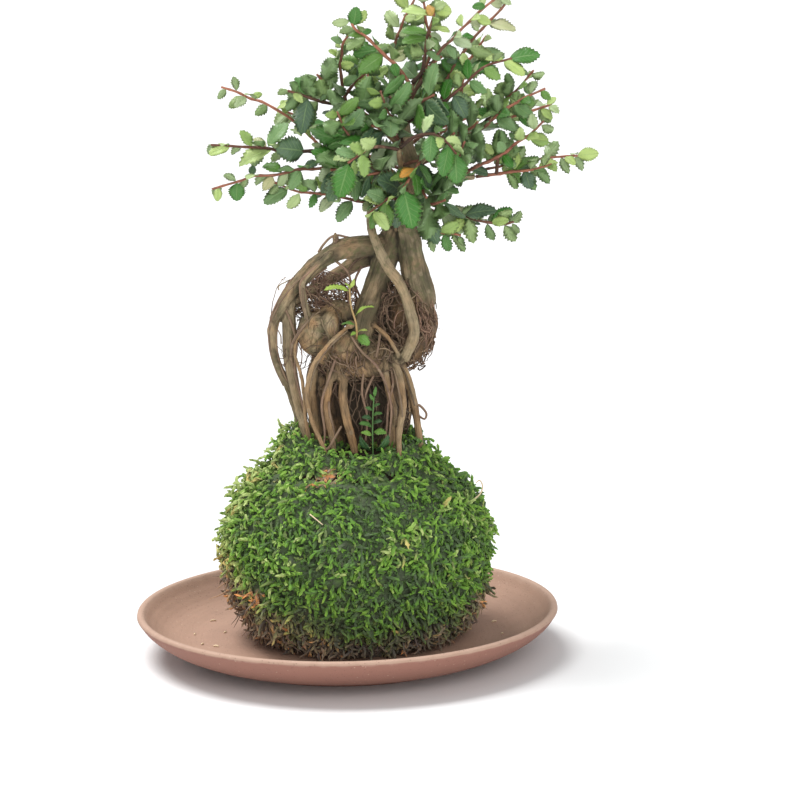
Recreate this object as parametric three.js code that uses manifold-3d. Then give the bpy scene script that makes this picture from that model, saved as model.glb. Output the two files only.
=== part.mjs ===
// A kokedama: a small Chinese elm with bared roots that grows from a ball of soil wrapped in moss, on a clay
// saucer.
// Millimetres, +Z up, -Y towards the viewer. The origin is the middle of the saucer's flat foot.
import * as THREE from "three";
import { mergeVertices } from "three/addons/utils/BufferGeometryUtils.js";
import Module from "manifold-3d";

const wasm = await Module();
wasm.setup();

// Driving dimensions
const saucerRadius = 90;
const saucerHeight = 19.5;
const saucerFloor = 6.6; // height of the dish's flat floor
const footRadius = 58;
const saucerFacets = 40;
const clearance = 0.35; // gap between pieces that touch
const ball = { x: 4.6, radius: 59.8, bottom: saucerFloor + clearance, neckTop: 94 };
const mossThickness = 6.5;
const soilTop = 90;
const bladeThickness = 0.7;
const stalkStart = 0.2; // a leaf starts this far from the middle of its twig

// Colours and finishes
const finishes = {
  clay: { color: 0xa97d69, roughness: 0.8 },
  moss: { color: 0x4a7a24, roughness: 0.95 },
  soil: { color: 0x2e241c, roughness: 1 },
  bark: { color: 0x76624a, roughness: 0.85 },
  leaf: { color: 0x3f7f3a, roughness: 0.55 },
  youngLeaf: { color: 0x9cc63a, roughness: 0.55 },
};

// A repeatable number from 0 to 1 for each whole number.
function chance(n) {
  const s = Math.sin(n * 12.9898 + 4.1414) * 43758.5453;
  return s - Math.floor(s);
}

function toSolid(geometry) {
  const bare = geometry.clone();
  bare.deleteAttribute("normal");
  bare.deleteAttribute("uv");
  const merged = mergeVertices(bare, 1e-4);
  return new wasm.Manifold(
    new wasm.Mesh({
      numProp: 3,
      vertProperties: new Float32Array(merged.attributes.position.array),
      triVerts: new Uint32Array(merged.index.array),
    }),
  );
}

function toGeometry(solid) {
  const { vertProperties, triVerts } = solid.getMesh();
  const geometry = new THREE.BufferGeometry();
  geometry.setAttribute("position", new THREE.BufferAttribute(new Float32Array(vertProperties), 3));
  geometry.setIndex(new THREE.BufferAttribute(new Uint32Array(triVerts), 1));
  geometry.computeVertexNormals();
  return geometry;
}

// The largest body of a solid, so that a scrap left by a cut is dropped.
function largest(solid) {
  return solid.decompose().reduce((a, b) => (b.volume() > a.volume() ? b : a));
}

function joined(solids) {
  return solids.reduce((a, b) => a.add(b));
}

function closedGeometry(vertices, faces) {
  const geometry = new THREE.BufferGeometry();
  const numbers = vertices.flatMap((v) => [v.x, v.y, v.z]);
  geometry.setAttribute("position", new THREE.Float32BufferAttribute(numbers, 3));
  geometry.setIndex(faces.flat());
  return geometry;
}

function curveThrough(points) {
  const places = points.map(([x, y, z]) => new THREE.Vector3(x, y, z));
  return new THREE.CatmullRomCurve3(places, false, "catmullrom", 0.5);
}

// A stem along the points [x, y, z, radius], closed at both ends. margin makes it fatter and longer.
function stem(points, sides, margin = 0) {
  const curve = curveThrough(points);
  const steps = points.length - 1;
  const vertices = [];
  const faces = [];
  let across = null;
  for (let i = 0; i <= steps; i++) {
    const t = i / steps;
    const centre = curve.getPoint(t);
    const along = curve.getTangent(t);
    if (i === 0) centre.addScaledVector(along, -margin);
    if (i === steps) centre.addScaledVector(along, margin);
    if (!across) across = new THREE.Vector3(0.3, 1, 0.2).cross(along);
    across.addScaledVector(along, -across.dot(along)).normalize();
    const third = new THREE.Vector3().crossVectors(along, across);
    const radius = points[i][3] + margin;
    for (let j = 0; j < sides; j++) {
      const a = (2 * Math.PI * j) / sides;
      vertices.push(
        centre
          .clone()
          .addScaledVector(across, radius * Math.cos(a))
          .addScaledVector(third, radius * Math.sin(a)),
      );
    }
  }
  for (let i = 0; i < steps; i++) {
    for (let j = 0; j < sides; j++) {
      const a = i * sides + j;
      const b = i * sides + ((j + 1) % sides);
      faces.push([a, b, b + sides], [a, b + sides, a + sides]);
    }
  }
  for (let j = 1; j < sides - 1; j++) {
    const last = steps * sides;
    faces.push([0, j + 1, j], [last, last + j, last + j + 1]);
  }
  return toSolid(closedGeometry(vertices, faces));
}

// An egg-shaped swelling: centre [x, y, z] and half sizes [x, y, z].
function swelling(centre, half, margin = 0) {
  const geometry = new THREE.SphereGeometry(1, 8, 5);
  geometry.rotateX(Math.PI / 2);
  geometry.scale(half[0] + margin, half[1] + margin, half[2] + margin);
  geometry.translate(...centre);
  return toSolid(geometry);
}

// Saucer

function saucerGeometry() {
  const profile = [
    [0, 0],
    [footRadius, 0],
    [footRadius + 1.2, 2],
    [70, 4.2],
    [80, 8.4],
    [86.6, 13.4],
    [saucerRadius, saucerHeight - 1.4],
    [saucerRadius - 1.2, saucerHeight],
    [saucerRadius - 3.2, saucerHeight - 0.6],
    [83.4, 14.6],
    [77, 9.6],
    [67, saucerFloor],
    [0, saucerFloor],
  ];
  const points = profile.map(([r, z]) => new THREE.Vector2(r, z));
  return new THREE.LatheGeometry(points, saucerFacets).rotateX(Math.PI / 2);
}

// Moss ball

// Radius of the moss ball at each height, from the foot that it sits on, up past the belly, to the neck.
const ballProfile = [
  [ball.bottom, 37],
  [ball.bottom + 2, 43],
  [13, 48.5],
  [21, 54],
  [30, 57.3],
  [39, 59],
  [48, ball.radius],
  [57, 59.2],
  [65, 56],
  [73, 50],
  [80, 43],
  [86, 36],
  [91, 31],
  [ball.neckTop, 27.5],
];

// The moss is humped: low waves round the ball and up it, none at the foot.
function mossRelief(angle, z) {
  const fade = THREE.MathUtils.smoothstep(z, ball.bottom, ball.bottom + 12);
  const waves =
    Math.sin(9 * angle + 0.21 * z) * Math.sin(0.31 * z + 2 * angle) +
    0.8 * Math.sin(15 * angle - 0.34 * z) * Math.sin(0.47 * z - angle + 1);
  return 1.1 * fade * waves;
}

// The neck stands higher on the left, where moss climbs a root, and lower at the front.
function neckLift(angle, z) {
  const share = THREE.MathUtils.smoothstep(z, 78, ball.neckTop);
  const left = Math.exp(-(((angle - Math.PI) / 0.9) ** 2));
  const front = Math.exp(-(((angle - 1.5 * Math.PI) / 0.9) ** 2));
  return share * (4 * left - 5 * front);
}

// A solid of revolution with its profile [height, radius], shifted to the ball's axis. mossy adds the humps.
function ballSolid(profile, facets, mossy) {
  const points = profile.map(([z, r]) => new THREE.Vector2(r, z));
  points.unshift(new THREE.Vector2(0, points[0].y));
  points.push(new THREE.Vector2(0, points[points.length - 1].y));
  const geometry = new THREE.LatheGeometry(points, facets).rotateX(Math.PI / 2);
  const place = geometry.attributes.position;
  for (let i = 0; i < place.count; i++) {
    const x = place.getX(i);
    const y = place.getY(i);
    const z = place.getZ(i);
    const r = Math.hypot(x, y);
    if (mossy && r > 0.01) {
      const angle = (Math.atan2(y, x) + 2 * Math.PI) % (2 * Math.PI);
      const grown = (r + mossRelief(angle, z)) / r;
      place.setXYZ(i, x * grown, y * grown, z + neckLift(angle, z));
    }
  }
  geometry.translate(ball.x, 0, 0);
  return toSolid(geometry);
}

// The round heart of soil: the ball's own shape, one moss thickness smaller, with a low domed top in the
// neck. grow makes it that much larger all round.
function soilBody(grow) {
  const bottom = ball.bottom + mossThickness;
  const belly = ballProfile
    .filter(([z], i) => i % 2 === 1 && z < 86)
    .map(([z, r]) => [Math.max(z, bottom), r - mossThickness + grow]);
  belly[0][0] -= grow;
  const dome = [
    [soilTop - 7, 31 + grow],
    [soilTop - 1 + grow, 22 + grow],
  ];
  return ballSolid([...belly, ...dome], 16, false);
}

function neckOpening() {
  const height = 24;
  const geometry = new THREE.CylinderGeometry(26, 22.4, height, 20).rotateX(Math.PI / 2);
  geometry.translate(ball.x, 0, soilTop - 1 + height / 2);
  return toSolid(geometry);
}

// Wood: every root, trunk and limb is a line of points [x, y, z, radius].

const trunks = {
  right: [
    [26, 0, 188, 4.6],
    [29, 0, 177, 4.7],
    [30, 0, 170, 5],
    [32, 0, 160, 5.5],
    [34, 0, 152, 5.8],
    [33, 1, 145, 5.6],
  ],
  middle: [
    [27, 3, 190, 4.4],
    [22, 3, 177, 4.8],
    [19, 3, 168, 5.2],
    [15, 2, 157, 5.3],
    [11, 1, 147, 5.6],
    [8, -1, 137, 6],
  ],
  top: [
    [26, 2, 184, 6],
    [29, 1, 195, 4.6],
    [31, 0, 204, 3.8],
    [29, 0, 216, 2.9],
    [28, 0, 228, 2],
    [31, 0, 241, 1.3],
  ],
  front: [
    [13, -7, 192, 1.5],
    [13, -9, 184, 1.7],
    [15, -10, 177, 1.9],
    [19, -11.5, 168, 2.1],
    [25, -12, 159, 2.2],
    [29, -12, 147, 2.3],
    [30, -11, 138, 2.3],
    [26, -6, 127, 2.4],
  ],
};

const archRoots = {
  arch: [
    [24, 3, 175, 4],
    [10, 2, 174, 4.3],
    [2, 1, 173, 4.3],
    [-6, 0, 169.5, 3.9],
    [-14, -2, 163.5, 3.2],
    [-22, -3, 155, 2.5],
    [-28, -3, 144, 1.9],
    [-29, -3, 134, 1.7],
    [-27, -1, 124, 1.7],
    [-22, 0, 112, 1.7],
    [-18, -2, 97, 1.6],
    [-16, -4, 78, 1.1],
  ],
  pole: [
    [-18, 0, 160, 2.4],
    [-22, -1, 151, 2.5],
    [-22, -2, 138, 2.5],
    [-22, -3, 126, 2.4],
    [-19, -6, 109, 2],
    [-16, -9, 96, 1.8],
    [-14, -11, 77, 1.2],
  ],
  inner: [[18, 6, 169, 2.8], [8, 8, 167, 2.8], [0, 9, 162, 2.6], [-9, 6, 157, 2.6], [-20, 0, 152, 2]],
  strand: [
    [-4, -4, 172, 1],
    [-14, -6, 163, 1],
    [-16, -6, 157, 1.2],
    [-14, -8, 146, 1.2],
    [-13, -6, 139, 1.2],
  ],
  stub: [[-1, 0, 173, 1.6], [-2, 0, 180, 0.7]],
};

const frontRoots = {
  loop: [
    [-11, -7, 147, 1],
    [-17, -10, 140, 0.9],
    [-20, -10, 132, 0.9],
    [-17, -11, 120, 1],
    [-16, -13, 104, 1],
    [-14, -15, 82, 0.8],
  ],
  sweep: [
    [3, -10, 142, 1],
    [-5, -15, 136, 1],
    [-12, -16, 127, 1.1],
    [-15, -16, 115, 1.3],
    [-13, -17, 103, 1.2],
    [-8, -20, 91, 1.1],
    [-5, -21, 80, 0.9],
  ],
  legOne: [
    [-4, -5, 126, 2],
    [-6, -11, 116, 1.6],
    [-7, -12, 106, 1.5],
    [-5, -13, 94, 1.5],
    [-3, -14, 75, 1],
  ],
  legTwo: [
    [2, -5, 125, 2.2],
    [0, -11, 114, 2],
    [1, -13, 104, 2],
    [4, -14, 92, 1.8],
    [6, -15, 72, 1.2],
  ],
  legThree: [
    [17, -6, 127, 2],
    [19, -11.5, 116, 1.8],
    [21, -12, 104, 1.8],
    [20, -12, 92, 1.6],
    [19, -13, 73, 1.1],
  ],
  legFour: [
    [21, -6, 128, 1.8],
    [24, -13, 120, 1.6],
    [25, -16, 109, 1.6],
    [23, -19, 97, 1.5],
    [23, -21, 84, 1.2],
  ],
  legFive: [[13, -8, 128, 0.8], [17, -15, 120, 0.8], [21, -15.5, 108, 0.8], [22, -16, 90, 0.7]],
  legSix: [
    [23, -3, 127, 2],
    [27, -5, 119, 1.8],
    [30, -5, 107, 1.8],
    [32, -6, 91, 1.7],
    [33, -6, 80, 1.2],
  ],
  cross: [[13, -4, 142, 1.1], [19, -9, 137, 1.1], [23, -9, 130, 1.1], [24, -4, 125, 1.2]],
};

const backRoots = {
  one: [[-8, 3, 134, 2.6], [-11, 9, 119, 2.1], [-11, 13, 104, 1.8], [-9, 15, 78, 1.2]],
  two: [[2, 5, 128, 2.6], [1, 13, 113, 2.2], [3, 17, 99, 1.9], [4, 18, 74, 1.2]],
  three: [[14, 5, 127, 2.6], [15, 12, 112, 2.3], [16, 16, 98, 1.9], [16, 18, 76, 1.2]],
  four: [[24, 3, 129, 2.4], [26, 9, 114, 2.1], [27, 12, 100, 1.8], [26, 13, 80, 1.2]],
  left: [[-10, 0, 131, 2.2], [-13, -3, 117, 1.8], [-12, -4, 102, 1.6], [-9, -5, 80, 1.1]],
};

const matRoots = {
  rightMass: [
    [33, 1, 148, 5.2],
    [35, 2, 141, 5],
    [32, 2, 133, 5.2],
    [26, 1, 127, 4.6],
    [16, 0, 126, 4],
  ],
  back: [[36, 3, 150, 1.8], [30, 7, 140, 2.2], [24, 8, 128, 2.4], [20, 11, 115, 2]],
};

const limbs = {
  left: [[29, 0, 196, 2.6], [22, -2, 204, 2.2], [11, -4, 210, 1.7], [3, -5, 213, 1.5], [-4, -5, 214, 1.3]],
  right: [[30, 1, 199, 2.4], [40, 2, 201, 1.9], [50, 3, 202, 1.5], [57, 4, 202, 1.2]],
  rightUp: [[30, 1, 206, 2.2], [40, 4, 214, 1.6], [50, 5, 218, 1.3], [57, 6, 221, 1]],
  leftUp: [[29, 1, 213, 2], [20, 3, 222, 1.5], [11, 4, 229, 1.1], [5, 4, 233, 1]],
  rightLow: [[28, 2, 190, 2], [33, 5, 191, 1.5], [37, 6, 191, 1.2]],
  back: [[30, 1, 197, 2.2], [28, 13, 204, 1.6], [26, 23, 211, 1.2]],
  front: [[29, -1, 203, 2], [26, -10, 209, 1.4], [25, -19, 216, 1.1]],
};

const swellings = [
  { centre: [-8, -2, 138], half: [10, 8.5, 11] }, // the knobbed burl on the left
  { centre: [-2, 0, 146], half: [7.5, 6.5, 6.5] },
  { centre: [8, -2, 127], half: [18, 9.5, 9.5] }, // where the roots grew together
  { centre: [2, -6, 131], half: [8, 5.5, 8] },
  { centre: [27, 1, 141], half: [8.5, 5.5, 15] }, // the matted roots under the right trunk
  { centre: [19, 4, 140], half: [7.5, 5, 15] },
  { centre: [-5, 3, 106], half: [11, 9, 30] }, // the matted core between the legs
  { centre: [9, 4, 104], half: [12, 9.5, 32] },
  { centre: [19, 3, 108], half: [8, 7.5, 28] },
];

function wood(margin) {
  const thick = Object.values(trunks).map((line) => stem(line, 7, margin));
  const arches = Object.values(archRoots).map((line) => stem(line, line[0][3] > 2 ? 6 : 5, margin));
  const thin = [frontRoots, backRoots, matRoots, limbs].flatMap((set) =>
    Object.values(set).map((line) => stem(line, line[0][3] > 1.5 ? 6 : 5, margin)),
  );
  const round = swellings.map(({ centre, half }) => swelling(centre, half, margin));
  return joined([...thick, ...arches, ...thin, ...round]);
}

// Leafy twigs: each spray is one or two twigs that hold together, with points [x, y, z] and a radius at the
// base. On top of its placed leaves a twig bears a number of leaves by rule, with their usual length and the
// angle of their two rows, 0 level and 90 upright.

const sprays = {
  leftLong: {
    radius: 1,
    leaves: 1,
    size: 11,
    turn: 70,
    twigs: [
      [[-4.6, -5.2, 214.1], [-12, -6, 215], [-20, -8, 215], [-30, -10, 217], [-41, -12, 218],
        [-52, -13, 219]],
    ],
  },
  leftMiddle: {
    radius: 0.8,
    leaves: 2,
    size: 11,
    turn: 60,
    twigs: [
      [[1, -5, 213], [-2, -2, 214], [-8, 2, 217], [-11, 4, 220], [-20, 6, 228], [-30, 8, 234],
        [-36, 9, 236], [-42, 9, 239], [-48, 9, 241]],
    ],
  },
  leftUp: {
    radius: 0.9,
    leaves: 1,
    size: 10,
    turn: 75,
    twigs: [
      [[4, 3, 233], [-2, -1, 234], [-9, -4, 236], [-14, -5, 238], [-20, -6, 240]],
    ],
  },
  leftLow: {
    radius: 0.8,
    leaves: 0,
    size: 9,
    turn: 85,
    twigs: [
      [[7, -7, 212], [-1, -9, 209], [-9, -10, 208], [-17, -12, 208], [-26, -13, 206],
        [-34, -14, 206], [-41, -15, 204], [-52, -15, 201]],
    ],
  },
  leftBottom: {
    radius: 0.8,
    leaves: 1,
    size: 12,
    turn: 70,
    twigs: [
      [[22, -4, 189], [16, -6, 192], [8, -7, 194], [-4, -8, 197], [-12, -9, 198], [-18, -9, 199],
        [-27, -10, 203]],
    ],
  },
  upLeft: {
    radius: 1,
    leaves: 0,
    size: 10,
    turn: 60,
    twigs: [
      [[30, -1, 242], [26, -3, 248], [21, -4, 253], [13, -5, 261], [8, -6, 265], [6, -6, 269]],
    ],
  },
  upLeftRise: {
    radius: 0.8,
    leaves: 1,
    size: 9,
    turn: 60,
    twigs: [
      [[4, 4, 234], [2, 3, 244], [2, 2, 251], [3, 1, 258], [7, 0, 264]],
      [[3, 4, 236], [6, 5, 240], [9, 6, 243], [14, 7, 247]],
    ],
  },
  centreUp: {
    radius: 1,
    leaves: 2,
    size: 12,
    turn: 70,
    twigs: [
      [[31.5, -0.5, 242], [35, -2, 246], [37, -3, 253], [37, -4, 257], [40, -5, 268],
        [41, -5, 273]],
    ],
  },
  centreBack: {
    radius: 0.8,
    leaves: 3,
    size: 11,
    turn: 50,
    twigs: [
      [[30, 1.5, 233], [37, 6, 247], [40, 8, 257], [38, 9, 266], [37, 10, 275], [36, 11, 283]],
    ],
  },
  centreLeft: {
    radius: 0.8,
    leaves: 3,
    size: 11,
    turn: 90,
    twigs: [
      [[28, 2, 230], [25, 5, 243], [24, 7, 255], [26, 8, 261], [29, 9, 268], [35, 10, 279]],
    ],
  },
  rightUpFront: {
    radius: 0.9,
    leaves: 2,
    size: 9,
    turn: 60,
    twigs: [
      [[30, -1.5, 236], [38, -4, 246], [42, -5, 254], [49, -7, 261], [57, -8, 269], [70, -10, 280]],
    ],
  },
  rightUpMiddle: {
    radius: 0.9,
    leaves: 3,
    size: 12,
    turn: 70,
    twigs: [
      [[41, 5, 216], [43, 6, 230], [45, 6, 240], [49, 6, 248], [58, 7, 260], [67, 8, 269],
        [77, 9, 280]],
    ],
  },
  rightUpBack: {
    radius: 0.8,
    leaves: 2,
    size: 13,
    turn: 40,
    twigs: [
      [[50, 7, 219], [52, 10, 234], [54, 11, 247], [58, 12, 253], [63, 12, 260]],
    ],
  },
  rightArc: {
    radius: 0.9,
    leaves: 1,
    size: 11,
    turn: 65,
    twigs: [
      [[29, -3, 226], [39, -8, 232], [46, -10, 236], [54, -12, 243], [61, -13, 249],
        [72, -13, 252]],
    ],
  },
  rightOne: {
    radius: 0.8,
    leaves: 1,
    size: 9,
    turn: 75,
    twigs: [
      [[58, 6, 221.5], [65, 5, 228], [69, 4, 233], [75, 3, 238], [82, 2, 246]],
    ],
  },
  rightTwo: {
    radius: 0.8,
    leaves: 2,
    size: 10,
    turn: 80,
    twigs: [
      [[57, 4.4, 222], [61, -1, 223], [66, -4, 228], [72, -5, 232], [77, -6, 235], [86, -7, 239]],
    ],
  },
  rightThree: {
    radius: 0.7,
    leaves: 2,
    size: 9,
    turn: 60,
    twigs: [
      [[58, 8, 221], [66, 9, 223], [73, 10, 226], [83, 10, 229], [90, 10, 231]],
    ],
  },
  rightFour: {
    radius: 0.9,
    leaves: 2,
    size: 10,
    turn: 85,
    twigs: [
      [[52, 1, 203.6], [59, -6, 208], [64, -7, 210], [69, -8, 213], [74, -9, 217], [80, -10, 221],
        [85, -11, 226]],
    ],
  },
  rightFive: {
    radius: 0.9,
    leaves: 0,
    size: 10,
    turn: 80,
    twigs: [
      [[57.6, 4, 202], [66, 3, 203], [73, 2, 204], [82, 0, 205], [89, -1, 207]],
      [[66, 3, 203], [67, 3, 209], [68, 3, 215]],
    ],
  },
  rightFar: {
    radius: 0.6,
    leaves: 2,
    size: 8,
    turn: 30,
    twigs: [
      [[54, 3.4, 202], [59, 8, 204], [66, 11, 205], [73, 13, 206], [85, 13, 208], [97, 13, 209],
        [101, 13, 209]],
    ],
  },
  rightLow: {
    radius: 0.8,
    leaves: 1,
    size: 9,
    turn: 80,
    twigs: [
      [[37.6, 6, 191], [47, 4, 188], [57, 3, 184], [68, 2, 182], [73, 1, 183]],
    ],
  },
  rightLowUnder: {
    radius: 0.6,
    leaves: 0,
    size: 10,
    turn: 45,
    twigs: [
      [[36, 7.6, 189.6], [44, 10, 185], [50, 11, 182], [56, 12, 181]],
    ],
  },
  rightLowSmall: {
    radius: 0.6,
    leaves: 0,
    size: 10,
    turn: 80,
    twigs: [
      [[33, 4, 189], [36, 3, 183], [41, 4, 179], [47, 6, 178], [51, 7, 177]],
    ],
  },
  frontLeft: {
    radius: 0.8,
    leaves: 0,
    size: 12,
    turn: 70,
    twigs: [
      [[24.5, -19.4, 216.3], [17, -24, 218], [12, -26, 217], [7, -28, 214], [4, -29, 212]],
    ],
  },
  frontRight: {
    radius: 0.8,
    leaves: 0,
    size: 12,
    turn: 60,
    twigs: [
      [[25.6, -19.4, 217], [32, -25, 222], [39, -28, 223], [44, -30, 220], [48, -31, 215]],
    ],
  },
  frontLow: {
    radius: 0.8,
    leaves: 0,
    size: 12,
    turn: 75,
    twigs: [
      [[27, -11, 209], [33, -17, 211], [30, -21, 206], [26, -24, 200]],
    ],
  },
  frontDown: {
    radius: 0.7,
    leaves: 1,
    size: 11,
    turn: 70,
    twigs: [
      [[27, -1, 189], [26, -12, 194], [21, -17, 196], [17, -20, 194], [12, -21, 190]],
    ],
  },
  stemTop: {
    radius: 0.7,
    leaves: 1,
    size: 10,
    turn: 60,
    twigs: [
      [[13, -7.3, 192.4], [13, -9, 198], [14, -10, 204]],
    ],
  },
  backLeft: {
    radius: 0.9,
    leaves: 6,
    size: 15,
    turn: 30,
    twigs: [
      [[24, 23, 211.5], [12, 30, 218], [0, 35, 222], [-12, 38, 224], [-22, 39, 228]],
    ],
  },
  backRight: {
    radius: 0.9,
    leaves: 6,
    size: 15,
    turn: 30,
    twigs: [
      [[27, 23.5, 211.6], [38, 31, 218], [50, 36, 222], [62, 38, 226], [70, 39, 231]],
    ],
  },
  backMiddle: {
    radius: 0.9,
    leaves: 5,
    size: 15,
    turn: 20,
    twigs: [
      [[26, 24, 212], [26, 34, 222], [28, 42, 232], [29, 46, 243]],
    ],
  },
  backLow: {
    radius: 0.8,
    leaves: 4,
    size: 15,
    turn: 20,
    twigs: [
      [[28, 13, 202], [24, 24, 198], [18, 35, 195], [12, 44, 197]],
    ],
  },
  backTop: {
    radius: 0.8,
    leaves: 4,
    size: 14,
    turn: 30,
    twigs: [
      [[20, 4.5, 223], [16, 13, 234], [13, 21, 246], [13, 25, 256]],
    ],
  },
  backHigh: {
    radius: 0.8,
    leaves: 4,
    size: 14,
    turn: 30,
    twigs: [
      [[40, 6, 215], [44, 16, 228], [50, 24, 240], [56, 28, 250]],
    ],
  },
  innerLeft: {
    radius: 0.7,
    leaves: 5,
    size: 16,
    turn: 50,
    twigs: [
      [[13, -5.5, 211], [7, -14, 218], [3, -17, 225], [0, -18, 232]],
    ],
  },
  innerMiddle: {
    radius: 0.7,
    leaves: 5,
    size: 16,
    turn: 60,
    twigs: [
      [[27, -2.4, 217], [24, -11, 226], [20, -15, 233], [18, -17, 240]],
    ],
  },
  innerRight: {
    radius: 0.7,
    leaves: 5,
    size: 15,
    turn: 50,
    twigs: [
      [[40, 0.6, 203], [44, -9, 207], [49, -16, 212], [52, -20, 219]],
    ],
  },
};

// Leaves that are placed one by one, to lie as they grew on the outer twigs: base x and z, tip x and z, how
// far the tip lies behind the base, the tilt of the blade from facing front, and its width as a share of its
// length.

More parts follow.
